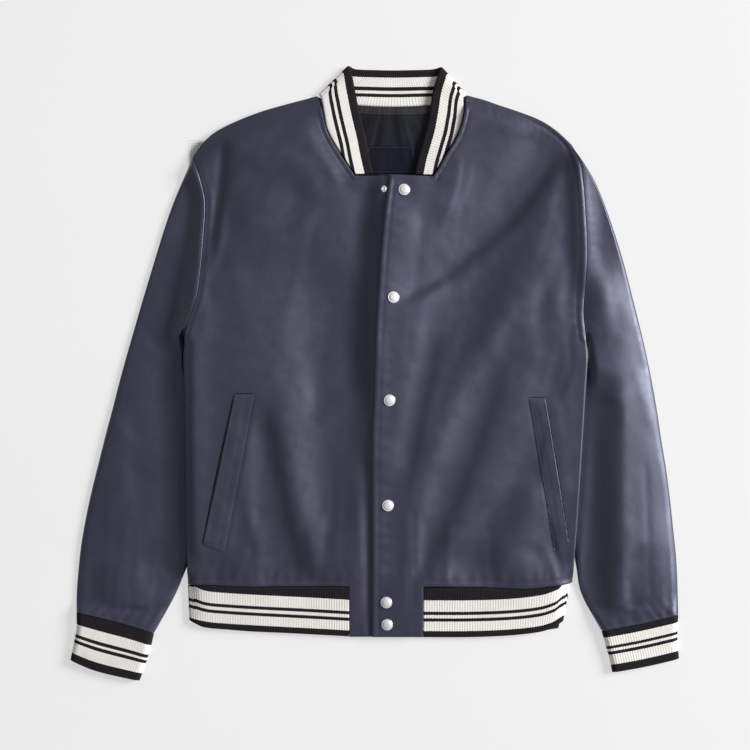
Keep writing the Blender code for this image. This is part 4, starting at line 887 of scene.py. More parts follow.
def rib_knit(name, stops):
    """Striped rib: dark and cream by turns, each from its stop on, in mm from the free edge."""
    mat, tree, shader = new_material(name)
    uv = node(tree, "ShaderNodeUVMap").outputs[0]
    at = object_coords(tree)
    split = node(tree, "ShaderNodeSeparateXYZ", {0: uv})
    run, out = split.outputs[0], split.outputs[1]  # metres along the rib, and a stripe's place across
    wale = maths(tree, "PINGPONG", run, RIB_PITCH * MM / 2)  # 0 in the groove between two ribs, half a pitch on a rib
    wale_share = maths(tree, "MULTIPLY", wale, 2 / (RIB_PITCH * MM))
    ragged = noise(tree, uv, 900.0, 1.0)
    edge = maths(tree, "ADD", out, maths(tree, "MULTIPLY", wale_share, 0.0045))
    edge = maths(tree, "ADD", edge, maths(tree, "MULTIPLY", maths(tree, "SUBTRACT", ragged, 0.5), 0.006))
    ramp = node(tree, "ShaderNodeValToRGB", {0: edge})
    ramp.color_ramp.interpolation = "CONSTANT"
    marks = ramp.color_ramp.elements
    for k, mm in enumerate(stops):
        mark = marks[k] if k < 2 else marks.new(mm * STRIPE_SCALE)
        mark.position = mm * STRIPE_SCALE
        mark.color = CREAM if k % 2 else INK
    # each stitch is a small V across its rib
    course = maths(tree, "ADD", maths(tree, "MULTIPLY", out, 0.1), maths(tree, "MULTIPLY", wale, 0.8))
    loop = maths(tree, "SINE", maths(tree, "MULTIPLY", course, 2 * math.pi / 0.00135))
    fuzz = noise(tree, at, 2600.0, 3.0, 0.7)
    tone = noise(tree, at, 38.0, 3.0, 0.6)
    # painted shade: the colour darkens towards the furrows between ribs and by turns along each stitch's V;
    # tone also varies at random
    furrow_shade = spread_to(tree, wale_share, 0.9, 1.0, 0.0, 0.55)
    lift = spread_to(tree, loop, 0.94, 1.03, -1.0, 1.0)
    level = maths(tree, "MULTIPLY", maths(tree, "MULTIPLY", furrow_shade, lift), spread_to(tree, tone, 0.95, 1.04))
    inputs = {0: ramp.outputs[0], "Scale": level}
    colour = node(tree, "ShaderNodeVectorMath", inputs, operation="SCALE").outputs[0]
    knit = bump(tree, wale_share, 0.14, 0.0004)
    knit = bump(tree, loop, 0.4, 0.0002, knit)
    knit = bump(tree, fuzz, 0.3, 0.00015, knit)
    feed(tree, shader, {
        "Base Color": colour, "Roughness": spread_to(tree, fuzz, 0.82, 0.97), "Normal": knit,
        "Sheen Weight": 0.03, "Sheen Roughness": 0.6, "Specular IOR Level": 0.08,
    })
    return mat


def thread(name, deep, pale):
    mat, tree, shader = new_material(name)
    twist = noise(tree, object_coords(tree), 2200.0, 2.0, 0.6)
    feed(tree, shader, {
        "Base Color": mix_colour(tree, spread_to(tree, twist, 0.0, 1.0), deep, pale),
        "Roughness": spread_to(tree, twist, 0.4, 0.6), "Normal": bump(tree, twist, 0.4, 0.0001),
    })
    return mat


def metal(name, tint, rough):
    """Plated snap with fine turning marks and handling haze."""
    mat, tree, shader = new_material(name)
    at = object_coords(tree)
    haze = noise(tree, at, 260.0, 4.0, 0.6)
    fleck = noise(tree, at, 1900.0, 2.0, 0.6)
    dull = tuple(0.72 * c for c in tint[:3]) + (1,)
    feed(tree, shader, {
        "Base Color": mix_colour(tree, spread_to(tree, haze, 0.0, 0.6), tint, dull),
        "Roughness": spread_to(tree, haze, rough - 0.05, rough + 0.12),
        "Normal": bump(tree, fleck, 0.08, 0.0001), "Metallic": 0.4,
    })
    return mat


SATIN = satin("navy_satin", (0.0215, 0.0235, 0.0415, 1), (0.0275, 0.030, 0.052, 1), 0.45, 0.05, 0.93)
LINING = satin("navy_lining", (0.006, 0.006, 0.0095, 1), (0.010, 0.010, 0.0145, 1), 0.5, 0.03, 0.3)
TAPE = satin("neck_tape_twill", (0.020, 0.020, 0.019, 1), (0.03, 0.03, 0.029, 1), 0.7, 0.03, 0.3)
LABEL = satin("label_satin", (0.004, 0.004, 0.010, 1), (0.006, 0.006, 0.014, 1), 0.5, 0.02, 0.25)
THREAD = thread("navy_thread", (0.03, 0.033, 0.05, 1), (0.085, 0.09, 0.12, 1))
SNAP = metal("snap_plate", (0.90, 0.90, 0.92, 1), 0.3)
STRIPES_COLLAR = rib_knit("rib_collar", [0, 11.2, 22.6, 27.2, 30.7, 35.5])
STRIPES_HEM = rib_knit("rib_hem", [0, 8.3, 21.0, 25.3, 29.6, 33.9, 48.8])
STRIPES_CUFF = {
    "right": rib_knit("rib_cuff_right", [0, 11.6, 26.0, 30.5, 33.8, 38.3, 52.0]),
    "left": rib_knit("rib_cuff_left", [0, 10.6, 24.2, 28.2, 31.8, 35.8, 47.5]),
}


# ---------------------------------------------------------------- panels
def front_panel(s):
    sign = SIGN[s]
    bottom = curve(HEM_LINE[s]) if s == "right" else flip(curve(HEM_LINE[s]))
    top = chain(
        (NECK_START, curve(SHOULDER[s])), (NECK_END, curve(NECK_FRONT[s])),
        (1.0, curve([NECK_FRONT[s][-1], LEAD[s][-1]])),
    )
    side = chain((UNDERARM, curve(SIDE[s])), (1.0, curve(ARMHOLE[s])))
    us = shares([(NECK_START, 42), (NECK_END, 32), (1.0, 26)])
    vs = shares([(UNDERARM, 108), (1.0, 84)])
    grid = patch(bottom, top, side, curve(LEAD[s]), us, vs)
    tab = int(np.argmin(abs(us - NECK_END)))
    hem_x = TAB_X[0] if s == "right" else TAB_X[1]
    k = (us[tab:] - NECK_END) / (1 - NECK_END)
    want = hem_x + (LEAD[s][0].x - hem_x) * k  # evenly spaced between the tab's edges
    fade = smooth(1 - vs / 0.12)[:, None]
    grid[:, tab:, 0] += (want[None] - grid[:, tab:, 0]) * fade
    grid[vs > UNDERARM, 0, 0] -= sign * GAP / 2
    rows = 22
    below = np.full((rows, len(us), 2), np.nan)
    drop = (np.arange(rows, 0, -1) / rows)[:, None]
    below[:, tab:, 0] = grid[0, tab:, 0]
    below[:, tab:, 1] = grid[0, tab:, 1] + (TAB_END_Y - grid[0, tab:, 1]) * drop
    pts = np.concatenate([below, grid])
    mask = np.ones((len(pts) - 1, len(us) - 1), bool)
    mask[:rows, :tab] = False
    under = rows + int(np.argmin(abs(vs - UNDERARM)))
    last = len(pts) - 1
    neck = int(np.argmin(abs(us - NECK_START)))

    def wrap(j, i):
        side_edge = (i == 0) & (j > rows) & (j < under)
        return side_edge | ((j == last) & (i > 0) & (i < neck - 2))

    return wall(f"front_{s}_satin", pts, skin_of[s], SHELL, SATIN, [f"front_{s}"], mask, wrap)


def back_panel():
    bottom = curve([P(-244, -273), P(-150, -277.4), P(0, -279.4), P(150, -278.4), P(256, -271)])
    shoulders = curve(SHOULDER["right"]), flip(curve(SHOULDER["left"]))
    top = chain((0.34, shoulders[0]), (0.66, curve(NECK_BACK)), (1.0, shoulders[1]))
    side = {s: chain((UNDERARM, curve(SIDE[s])), (1.0, curve(ARMHOLE[s]))) for s in SIDES}
    us = shares([(0.34, 32), (0.66, 30), (1.0, 32)])
    vs = shares([(UNDERARM, 56), (1.0, 44)])
    pts = patch(bottom, top, side["right"], side["left"], us, vs)
    arm = vs > UNDERARM
    for col, s in ((0, "right"), (-1, "left")):
        pts[arm, col, 0] -= SIGN[s] * GAP / 2
        pts[~arm, col, 0] -= SIGN[s] * FOLD_DOWN
    shoulder = 33  # grid columns of each shoulder
    pts[-1, :shoulder, 1] -= FOLD_DOWN * smooth(np.arange(shoulder)[::-1] / 3)
    pts[-1, -shoulder:, 1] -= FOLD_DOWN * smooth(np.arange(shoulder) / 3)

    def top_at(x, y):
        return back_under(x, y) + CLOTH - GAP

    return wall("back_satin", pts, top_at, SHELL, SATIN, ["back_panel"])


def cuff_line(s, end):
    row = CUFF[s][-1 if end else 0]
    a, b = np.array([row.inner_x, row.inner_y]), np.array([row.outer_x, row.outer_y])
    along = (b - a) / np.linalg.norm(b - a)
    down = np.array([along[1], -along[0]])
    down = -down if down[1] > 0 else down
    share, bow = CUFF_BOW[s][end]
    return curve([a, a + (b - a) * share + down * bow, b])


def sleeve(s):
    sign = SIGN[s]
    blend = 0.2  # share of the length over which the plan takes up the end's curve
    arm, end = curve(ARMHOLE[s]), cuff_line(s, 0)
    ends = np.array([0.0, 1.0])
    arm_ends, end_ends = arm(ends), end(ends)

    def plan(us, vs):
        us = np.asarray(us, float)
        rail = rails[s](vs)
        u, v = us[None, :, None], np.asarray(vs, float)[:, None, None]
        p = rail[:, None, 2:] * (1 - u) + rail[:, None, :2] * u
        bow_a = arm(us) - (arm_ends[0] * (1 - us[:, None]) + arm_ends[1] * us[:, None])
        bow_b = end(us) - (end_ends[0] * (1 - us[:, None]) + end_ends[1] * us[:, None])
        p = p + bow_a[None] * np.maximum(1 - v / blend, 0) ** 2
        p = p + bow_b[None] * np.maximum(v / blend - 4, 0) ** 2
        x, y = p[..., 0], p[..., 1]
        vv = v[..., 0] + 0 * x
        edge = crossing(arm_line[s], np.maximum(y, PIT_Y))
        least = GAP / 2 + 60 * vv - 0.3 * np.maximum(PIT_Y - y, 0)
        kept = edge + sign * np.maximum((x - edge) * sign, least)
        x = np.where(vv == 0, x + sign * GAP / 2, np.where(y > PIT_Y - 12, kept, x))
        return np.stack([x, y], -1)

    vs = shares([(0.06, 14), (0.94, 150), (1.0, 16)])
    return tube(
        f"sleeve_{s}_satin", vs, plan, lambda x, y, v, a, b: sleeve_skin(s, x, y, v, a, b), SHELL,
        eased(60, 0.5), eased(22, 0.5), SATIN, [f"sleeve_{s}"],
    )


def cuff(s):
    inner = curve([P(r.inner_x, r.inner_y) for r in CUFF[s]])
    outer = curve([P(r.outer_x, r.outer_y) for r in CUFF[s]])
    ends = np.array([0.0, 0.5, 1.0])
    middle = patch(cuff_line(s, 0), cuff_line(s, 1), inner, outer, ends, ends)
    down = middle[2, 1] - middle[0, 1]
    length = np.linalg.norm(down)
    down = down / length * GAP
    width = np.linalg.norm(middle[1, 2] - middle[1, 0])
    ribs = int(width / RIB_PITCH)

    def plan(us, vs):
        vs = np.asarray(vs, float)
        return patch(cuff_line(s, 0), cuff_line(s, 1), inner, outer, us, vs) + down * (1 - vs)[:, None, None]

    def rib(run, d):
        return RIB_RISE * np.abs(np.sin(math.pi * run * ribs / width)) ** 0.8 * smooth(d / 2)

    def height(x, y, v, a, b):
        puff = 0.35 * wander(x, y, 24, 141) * smooth(np.minimum(a, b) / 10)
        puff = puff * smooth(v / 0.2) * smooth((1 - v) / 0.15)
        return CUFF_TOP - 1.5 * smooth((v - 0.2) / 0.8) - 0.6 + puff

    ups = np.concatenate([[0, 0.002, 0.005], np.arange(1, 6 * ribs) / (6 * ribs), [0.995, 0.998, 1]])
    ups = np.unique(ups)
    vs = np.concatenate([[0, 0.015], np.linspace(0.05, 0.95, 14), [0.985, 1]])
    return tube(
        f"cuff_{s}_rib", vs, plan, height, RIB_WALL, ups, eased(60, 0.4),
        STRIPES_CUFF[s], [f"cuff_{s}"], rib=rib, length=length,
    )


def band(name, stations, shown, mat, nodes, remap=None, rows=16):
    """A ribbed band wall through (seam, edge, tag) stations.

    shown(side, tag) is the share of rib relief on a face.
    """
    join = np.array([tuple(a) + tuple(b) for a, b, tag in stations], float)
    steps = np.diff(join, axis=0)
    step = (np.linalg.norm(steps[:, :3], axis=1) + np.linalg.norm(steps[:, 3:], axis=1)) / 2
    run = np.concatenate([[0], np.cumsum(step)])
    knots, total = run / run[-1], run[-1]
    tags = [tag for a, b, tag in stations]
    cols = [0.0]
    for k in range(len(stations) - 1):
        plain = tags[k] == "rest" and tags[k + 1] == "rest"
        ribs = (knots[k + 1] - knots[k]) * total / RIB_PITCH
        n = max(2, math.ceil(ribs / 2)) if plain else max(3, round(6 * ribs))
        cols += [knots[k] + (knots[k + 1] - knots[k]) * (i + 1) / n for i in range(n)]
    cols = np.array(cols)
    hs = np.concatenate([[0, 0.02], np.linspace(0.06, 0.94, rows), [0.98, 1]])

    def middle(s, h):
        both = hermite(join, knots, s)
        return both[..., :3] + (both[..., 3:] - both[..., :3]) * h[..., None]

    s, h = np.meshgrid(cols, hs, indexing="ij")
    e = 1e-3
    base = middle(s, h)
    along = middle(np.minimum(s + e, 1), h) - middle(np.maximum(s - e, 0), h)
    across = middle(s, np.minimum(h + e, 1)) - middle(s, np.maximum(h - e, 0))
    across /= np.linalg.norm(across, axis=-1)[..., None]
    normal = np.cross(along, across)
    normal /= np.linalg.norm(normal, axis=-1)[..., None]
    width = np.linalg.norm(join[:, 3:] - join[:, :3], axis=1)
    wide = np.interp(cols, knots, width)[:, None]
    # stripe coordinate: distance from the free edge, square to it
    edge_run = middle(np.minimum(s + e, 1), 0 * h + 1) - middle(np.maximum(s - e, 0), 0 * h + 1)
    edge_run /= np.linalg.norm(edge_run, axis=-1)[..., None]
    off = base - middle(s, 0 * h + 1)
    out = np.linalg.norm(np.cross(off, edge_run), axis=-1)
    if remap is not None:
        out = remap(s, out, knots, tags)
    phase = s * total / RIB_PITCH
    ridge = RIB_RISE * np.abs(np.sin(math.pi * phase)) ** 0.8
    seam_in, edge_in = h * wide, (1 - h) * wide
    calm = smooth(seam_in / 2.0) * (0.35 + 0.65 * smooth(edge_in / 2.5))
    round_off = np.minimum(np.minimum(seam_in / 0.9, edge_in / 1.6), 1)
    half = RIB_WALL / 2 * np.sqrt(np.clip(1 - (1 - round_off) ** 2, 0.0, 1))
    skins = []
    for side in (1, -1):
        share = np.interp(cols, knots, [shown(side, tag) for tag in tags])[:, None]
        p = base + normal * (side * (half + ridge * calm * share))[..., None]
        skins.append(p)
    nc, nh = s.shape
    n = nc * nh
    a = (np.arange(nc - 1)[:, None] * nh + np.arange(nh - 1)[None]).ravel()
    quad = np.stack([a, a + nh, a + nh + 1, a + 1], 1)
    faces = [quad, quad[:, ::-1] + n]
    for k in (0, nh - 1):
        one = np.arange(nc) * nh + k
        faces.append(np.stack([one[:-1], one[1:], one[1:] + n, one[:-1] + n], 1))
    for k in (0, nc - 1):
        one = k * nh + np.arange(nh)
        faces.append(np.stack([one[:-1], one[1:], one[1:] + n, one[:-1] + n], 1))
    verts = np.vstack([p.reshape(-1, 3) for p in skins])
    verts[:, 2] = np.maximum(verts[:, 2], 0)
    uv = np.column_stack([(s * total * MM).ravel(), (out * STRIPE_SCALE).ravel()])
    piece = write_piece(name, verts, np.vstack(faces).tolist(), mat, nodes, np.vstack([uv, uv]))
    bm = bmesh.new()
    bm.from_mesh(piece.data)
    bmesh.ops.remove_doubles(bm, verts=bm.verts, dist=2e-6)
    bmesh.ops.recalc_face_normals(bm, faces=bm.faces)
    bm.to_mesh(piece.data)
    bm.free()
    return piece


def at_height(x, y):
    return float(front_top(np.array([float(x)]), np.array([float(y)]))[0])


def hem_band():
    half = RIB_WALL / 2

    def front(r):
        lift = half + RIB_RISE / 2
        seam = Vector((r.seam_x, r.seam_y - GAP, at_height(r.seam_x, r.seam_y) - lift))
        return seam, Vector((r.edge_x, r.edge_y, at_height(r.edge_x, r.edge_y) - lift)), "front"

    def level(r, seam_z, edge_z, tag):
        return Vector((r.seam_x, r.seam_y, seam_z)), Vector((r.edge_x, r.edge_y, edge_z)), tag

    def back(x, y0, y1):
        return Vector((x, y0 - GAP * 2, half)), Vector((x, y1, half)), "rest"

    rows = []
    for s in SIDES:
        part = [front(r) for r in HEM_BAND[s]]
        sign, low, last = SIGN[s], HEM_BAND[s][-1], HEM_TURN[s]
        mid = Band(*[(p + 2 * q) / 3 for p, q in zip(low, last)])
        side = Band(last.seam_x - sign * half, last.seam_y, last.edge_x - sign * half, last.edge_y)
        part += [level(mid, 7.2, 6.3, "front"), level(side, 4.2, 4.0, "turn"), level(mid, half, half, "rest")]
        rows.append(part + [back(low.seam_x, low.seam_y, low.edge_y)])
    start = Vector((-GAP, 0, 0))
    rows[0][0] = (rows[0][0][0] + start, rows[0][0][1] + start, "front")
    rows[1][0] = (rows[1][0][0] - start, rows[1][0][1] - start, "front")
    stations = rows[0] + [back(*r) for r in HEM_BACK_Y] + rows[1][::-1]
    face = {"front": 1.0, "turn": 0.8, "rest": 0.0}

    def remap(s, out, knots, tags):
        """Towards the side turns the rib narrows, and its stripes crowd together."""
        turns = [k for k, tag in enumerate(tags) if tag == "turn"]
        wider, further = np.ones(len(tags)), np.zeros(len(tags))
        for k, a, b in ((-1, 1.10, 2.7), (0, 1.12, 3.5), (1, 1.12, 3.5)):
            wider[turns[0] + k], further[turns[0] + k] = a, b
        for k, a in ((-1, 1.22), (0, 1.22), (1, 1.16), (2, 1.04)):
            wider[turns[1] + k] = a
        return out * np.interp(s, knots, wider) + np.interp(s, knots, further)

    def shown(side, tag):
        return face[tag] if side == 1 else 0.0

    return band("hem_rib_knit", stations, shown, STRIPES_HEM, ["hem_rib"], remap)


def collar():
    def row(r, tag):
        return Vector((r.seam_x, r.seam_y, r.seam_z)), Vector((r.edge_x, r.edge_y, r.edge_z)), tag

    stations = [row(r, "front") for r in COLLAR_FRONT["right"]] + [row(COLLAR_TURN["right"], "turn")]
    stations += [row(r, "back") for r in COLLAR_BACK] + [row(COLLAR_TURN["left"], "turn")]
    stations += [row(r, "front") for r in reversed(COLLAR_FRONT["left"])]
    face = {"back": (1.0, 0.0), "front": (0.3, 1.0), "turn": (0.5, 0.5)}  # relief on the upper and lower side

    def remap(s, out, knots, tags):
        back = np.interp(s, knots, [1.0 if t == "back" else 0.0 for t in tags])
        there = np.interp(out, [0, 9, 22.8, 26.7, 31.4, 35, 60], [0, 10.4, 23.0, 26.8, 31.0, 35.0, 60])
        return out * (1 - back) + there * back

    def shown(side, tag):
        return face[tag][0 if side == 1 else 1]

    return band("collar_knit", stations, shown, STRIPES_COLLAR, ["collar"], remap)


def lining_top(x, y):
    fade = smooth((y - 192) / 20) * smooth((352 - y) / 10)
    fan = (x - 20) * 90 / (400 - np.minimum(y, 340))
    gather = np.maximum(folded(x, y, LINING_FOLDS), 0) + 0.14 * (1 + gathers(fan, 9.0, 161))
    free = 0.2 + gather + 0.25 * wander(x, y, 18, 171)
    return back_under(x, y) + CLOTH + 2.5 * GAP + LINING_WALL + free * fade


def back_lining():
    us, vs = shares([(1.0, 90)]), shares([(1.0, 56)])
    low = curve([P(-112, 196), P(20, 190), P(152, 196)])
    right = curve([P(-112, 196), P(-92, 280), P(-70, 350)])
    left = curve([P(152, 196), P(132, 280), P(110, 350)])
    high = curve([P(-70, 350), P(-50, 347), P(-22, 345), P(20, 344), P(66, 345), P(92, 347.5), P(110, 350)])
    pts = patch(low, high, right, left, us, vs)
    return wall(
        "back_lining_satin", pts, lining_top, 1.0, LINING, ["back_lining"], inset=0.4
    )


def neck_tape():
    """Tape over the back neck seam."""
    xs = np.linspace(0.06, 0.94, 110)
    seam = curve(NECK_BACK)(xs)
    rows = np.linspace(0, 1, 9)
    pts = np.stack([seam + np.array([0, -10.5 + 11.2 * r]) for r in rows])

    def top(x, y):
        over = smooth((y - 345.5) / 4)
        return np.maximum(lining_top(x, y) + 1.15, 4.4) * (1 - over) + 4.5 * over

    return wall("neck_tape", pts, top, 0.8, TAPE, [], inset=0.35)


def welt_edges(row):
    """A welt's outer edge, along the mouth, and its inner edge, each as its upper and lower end."""
    mouth = np.array([[row.mouth_x0, row.mouth_y0], [row.mouth_x1, row.mouth_y1]], float)
    return mouth, np.array([[row.in_x0, row.in_y0], [row.in_x1, row.in_y1]], float)


def welt(row):
    s = row.side
    mouth, inner = welt_edges(row)
    t = np.linspace(0, 1, 90)[:, None, None]
    w = shares([(0.1, 3), (0.9, 14), (1.0, 3)])[None, :, None]
    pts = (mouth[0] * (1 - t) + mouth[1] * t) * (1 - w) + (inner[0] * (1 - t) + inner[1] * t) * w

    def top(x, y):
        a, b = away(x, y, mouth), away(x, y, inner)
        base = front_skin(x, y, s)
        lumps = 0.22 * wander(x, y, 15, 181) + 0.14 * wander(x, y * 0.6, 8, 182)
        lumps = lumps - 0.16 * swell(b, 9.0, 2.4)
        across = b / (a + b + 1e-6)
        full = np.where(s == "right", 0.1 + 1.35 * across, 0.25 + 1.35 * np.sin(0.74 * math.pi * across))
        ends = np.minimum(*[away(x, y, (mouth[k], inner[k])) for k in (0, 1)])
        full = full + lumps * smooth(np.minimum(a, b) / 4)
        return base + 0.22 + full * (0.4 + 0.6 * smooth((ends + 0.5) / 7))

    def rest(x, y):
        return front_skin(x, y, s) + 0.05

    piece = wall(
        f"pocket_welt_{s}_satin", pts, top, 1.5, SATIN, [f"pocket_welt_{s}"],
        inset=0.7, under=rest,
    )
    return piece, top


def painted_shade_strip(name, ends, way, wide, s):
    """A narrow strip in the dark lining material along a welt's edge between two ends, reaching out one way:
    painted shade laid on the cloth.
    """
    t = np.linspace(0.01, 0.98, 80)[:, None, None]
    w = np.linspace(0, 1, 5)[None, :, None]
    a, b = ends
    reach = wide * np.sin(math.pi * np.clip(t, 0.03, 0.97)) ** 0.7
    pts = a * (1 - t) + b * t + np.array(way) * (0.35 + reach * w)

    def top(x, y):
        return front_skin(x, y, s) + 0.42

    return wall(name, pts, top, 0.35, LINING, [], inset=0.2)


def pocket_mouth(row, wide):
    """Dark strips: along a welt's mouth, partly its dark pocketing and partly painted shade of the opening;
    across its top, a painted shadow of the seam.
    """
    mouth, inner = welt_edges(row)
    across = (mouth[0], inner[0])
    return [
        painted_shade_strip(f"pocket_mouth_{row.side}_lining", mouth, (SIGN[row.side], 0.0), wide, row.side),
        painted_shade_strip(f"pocket_top_{row.side}_lining", across, (0.0, 1.0), 1.1, row.side),
    ]


def label():
    w, h = LABEL_SIZE
    xs = LABEL_AT.x + w * (np.linspace(0, 1, 62) - 0.5)
    ys = LABEL_AT.y + h * (np.linspace(0, 1, 36) - 0.5)
    pts = np.stack(np.meshgrid(xs, ys), -1)

    def top(x, y):
        flat = CLOTH + 2.5 * GAP + LINING_WALL + 1.5
        return lining_top(x, y) * 0.35 + 0.65 * flat + 1.4 + 0.12 * wander(x, y, 14, 191)

    return wall("neck_label_woven", pts, top, 0.7, LABEL, ["neck_label"], inset=0.35), top


def normal_at(top, x, y, e):
    """The way a surface faces, from its heights at e on each side."""
    across, up = e * np.array([-1, 1, 0, 0]), e * np.array([0, 0, -1, 1])
    west, east, south, north = top(x + across, y + up).tolist()
    return Vector((west - east, south - north, 2 * e)).normalized()


def turned(name, at, top, profile, node_name, sides=48):
    """A lathed snap that stands on a panel along its slope."""
    reach = max(r for r, z in profile)
    angles = np.arange(16) * 2 * math.pi / 16
    xs, ys = at.x + reach * np.cos(angles), at.y + reach * np.sin(angles)
    zs = top(xs, ys)
    spot = normal_at(top, float(at.x), float(at.y), reach * 0.8)
    mid = Vector((at.x, at.y, float(np.mean(zs))))
    lift = max((Vector((x, y, z)) - mid).dot(spot) for x, y, z in zip(xs, ys, zs)) + 0.15
    origin = mid + spot * lift
    turn = Vector((0, 0, 1)).rotation_difference(spot)
    verts, faces, rings = [], [], []
    for r, z in profile:
        ring = []
        for k in range(1 if r == 0 else sides):
            a = 2 * math.pi * k / sides
            verts.append(tuple(origin + turn @ Vector((r * math.cos(a), r * math.sin(a), z))))
            ring.append(len(verts) - 1)
        rings.append(ring)
    for one, two in zip(rings, rings[1:]):
        for k in range(sides):
            m = (k + 1) % sides
            if len(one) == 1:
                faces.append((one[0], two[k], two[m]))
            elif len(two) == 1:
                faces.append((one[k], two[0], one[m]))
            else:
                faces.append((one[k], two[k], two[m], one[m]))
    return write_piece(name, verts, faces, SNAP, [node_name])


# radius and height of each ring of a snap
CAP_PROFILE = [
    (0, 2.75), (1.6, 2.72), (3.2, 2.55), (4.4, 2.25), (5.3, 1.8), (5.75, 1.35), (5.95, 1.05), (6.15, 0.95),
    (6.5, 1.05), (6.95, 1.12), (7.3, 0.95), (7.5, 0.6), (7.42, 0.2), (7.1, 0.0), (0, 0.0),
]
STUD_PROFILE = [
    (0, 1.1), (1.2, 1.12), (1.5, 1.4), (1.75, 1.9), (2.2, 2.1), (2.6, 1.95), (2.8, 1.5), (2.85, 1.0),
    (3.2, 0.75), (3.9, 0.7), (4.2, 0.5), (4.3, 0.2), (4.1, 0.0), (0, 0.0),
]


# ---------------------------------------------------------------- stitching
def along_line(line, pitch):
    """Centres and directions at even steps on a polyline."""
    line = np.asarray(line, float)
    step = np.linalg.norm(np.diff(line, axis=0), axis=1)
    run = np.concatenate([[0], np.cumsum(step)])
    at = np.arange(pitch / 2, run[-1], pitch)
    x, y = np.interp(at, run, line[:, 0]), np.interp(at, run, line[:, 1])
    x2, y2 = np.interp(at + 0.5, run, line[:, 0]), np.interp(at + 0.5, run, line[:, 1])
    x1, y1 = np.interp(at - 0.5, run, line[:, 0]), np.interp(at - 0.5, run, line[:, 1])
    return np.column_stack([x, y]), np.column_stack([x2 - x1, y2 - y1])


def offset(line, d):
    """A polyline moved d mm to its left."""
    line = np.asarray(line, float)
    t = np.gradient(line, axis=0)
    t /= np.linalg.norm(t, axis=1)[:, None]
    return line + np.column_stack([-t[:, 1], t[:, 0]]) * d


def stitches(name, runs, pitch=3.7, length=2.7, radius=0.34):
    """Lockstitches as small capsules; runs are (polyline, top)."""
    verts, faces, count = [], [], 0
    ring = np.arange(6) * math.pi / 3
    profile = [(-0.5, 0.25), (-0.38, 0.85), (0.0, 1.0), (0.38, 0.85), (0.5, 0.25)]
    for line, top in runs:
        spots, ways = along_line(line, pitch)
        for (x, y), (dx, dy) in zip(spots, ways):
            size = math.hypot(dx, dy)
            dx, dy = dx / size, dy / size
            reach = np.array([-0.5, 0, 0.5]) * length
            ends = top(x + dx * reach, y + dy * reach)
            start = count
            for along, fat in profile:
                px, py = x + dx * along * length, y + dy * along * length
                pz = float(np.interp(along, [-0.5, 0, 0.5], ends)) + 0.1 + 0.16 * (1 - 4 * along * along)
                wide = radius * fat
                for c, w in zip(np.cos(ring), np.sin(ring)):
                    verts.append((px - dy * c * wide, py + dx * c * wide, pz + w * wide * 0.8))
                count += 6
            for k in range(4):
                for m in range(6):
                    a, b = start + k * 6 + m, start + k * 6 + (m + 1) % 6
                    faces.append((a, b, b + 6, a + 6))
            faces.append(tuple(start + m for m in range(5, -1, -1)))
            faces.append(tuple(start + 24 + m for m in range(6)))
    return write_piece(name, verts, faces, THREAD)


# ---------------------------------------------------------------- the garment
back = back_panel()
painted_shade = back_lining()
tape = neck_tape()
label_piece, label_top = label()
fronts = {s: front_panel(s) for s in SIDES}
sleeves = {s: sleeve(s) for s in SIDES}
cuffs = {s: cuff(s) for s in SIDES}
hem = hem_band()
collar_piece = collar()
welts = {}
welt_tops = {}
pocket_shade_strips = {}
# each pocket gets a dark strip of painted shade in its mouth and a painted seam shadow across its top
for row, wide in zip(WELTS, MOUTH_SHADE_WIDE):
    welts[row.side], welt_tops[row.side] = welt(row)
    pocket_shade_strips[row.side] = pocket_mouth(row, wide)

caps = [
    turned(f"snap_cap_{k}_plated", at, left_top, CAP_PROFILE, f"snap_cap_{k}")
    for k, at in enumerate(CAPS, 1)
]
stud = turned("snap_stud_plated", STUD, right_top, STUD_PROFILE, "snap_stud")

# how far inside each edge its line of stitches runs
LEAD_STITCH, NECK_STITCH, HEM_STITCH = 6.6, 5.6, 5.4
lead_edge = np.vstack([lead_line["left"][::-1], [[-4, -300], [-4, -320], [-4, -337]]])
neck_edge = {s: polyline(curve(NECK_FRONT[s]), 40)[::-1] for s in SIDES}
hem_edge = {
    "right": polyline(curve(HEM_LINE["right"][:-1]), 40),
    "left": polyline(curve(HEM_LINE["left"][1:]), 40),
}
left_lines = [
    offset(lead_edge, LEAD_STITCH),
    offset(neck_edge["left"], -NECK_STITCH),
    polyline(curve([P(24, 252), P(48, 250.5), P(68, 250.5)]), 12),
    offset(hem_edge["left"], HEM_STITCH),
]
right_lines = [offset(neck_edge["right"], NECK_STITCH), offset(hem_edge["right"], HEM_STITCH)]
stitch_left = stitches("stitching_front_left", [(line, left_top) for line in left_lines])
stitch_right = stitches("stitching_front_right", [(line, right_top) for line in right_lines])
WELT_STITCH = (  # from and to, as shares across and along a welt
    (0.08, 0.018, 0.92, 0.018), (0.08, 0.982, 0.92, 0.982),
    (0.92, 0.03, 0.92, 0.97), (0.08, 0.03, 0.08, 0.97),
)
for row in WELTS:
    (a0, a1), (b0, b1) = welt_edges(row)
    runs = []
    for u0, v0, u1, v1 in WELT_STITCH:
        spots = [
            (a0 * (1 - v) + a1 * v) * (1 - u) + (b0 * (1 - v) + b1 * v) * u for u, v in ((u0, v0), (u1, v1))
        ]
        runs.append((np.array(spots), welt_tops[row.side]))
    stitches(f"stitching_welt_{row.side}", runs)
w, h = LABEL_SIZE
corner = [
    (LABEL_AT.x + a * (w / 2 - 1.6), LABEL_AT.y + b * (h / 2 - 1.6))
    for a, b in ((-1, -1), (1, -1), (1, 1), (-1, 1), (-1, -1))
]
runs = [(np.array([p, q]), label_top) for p, q in zip(corner, corner[1:])]
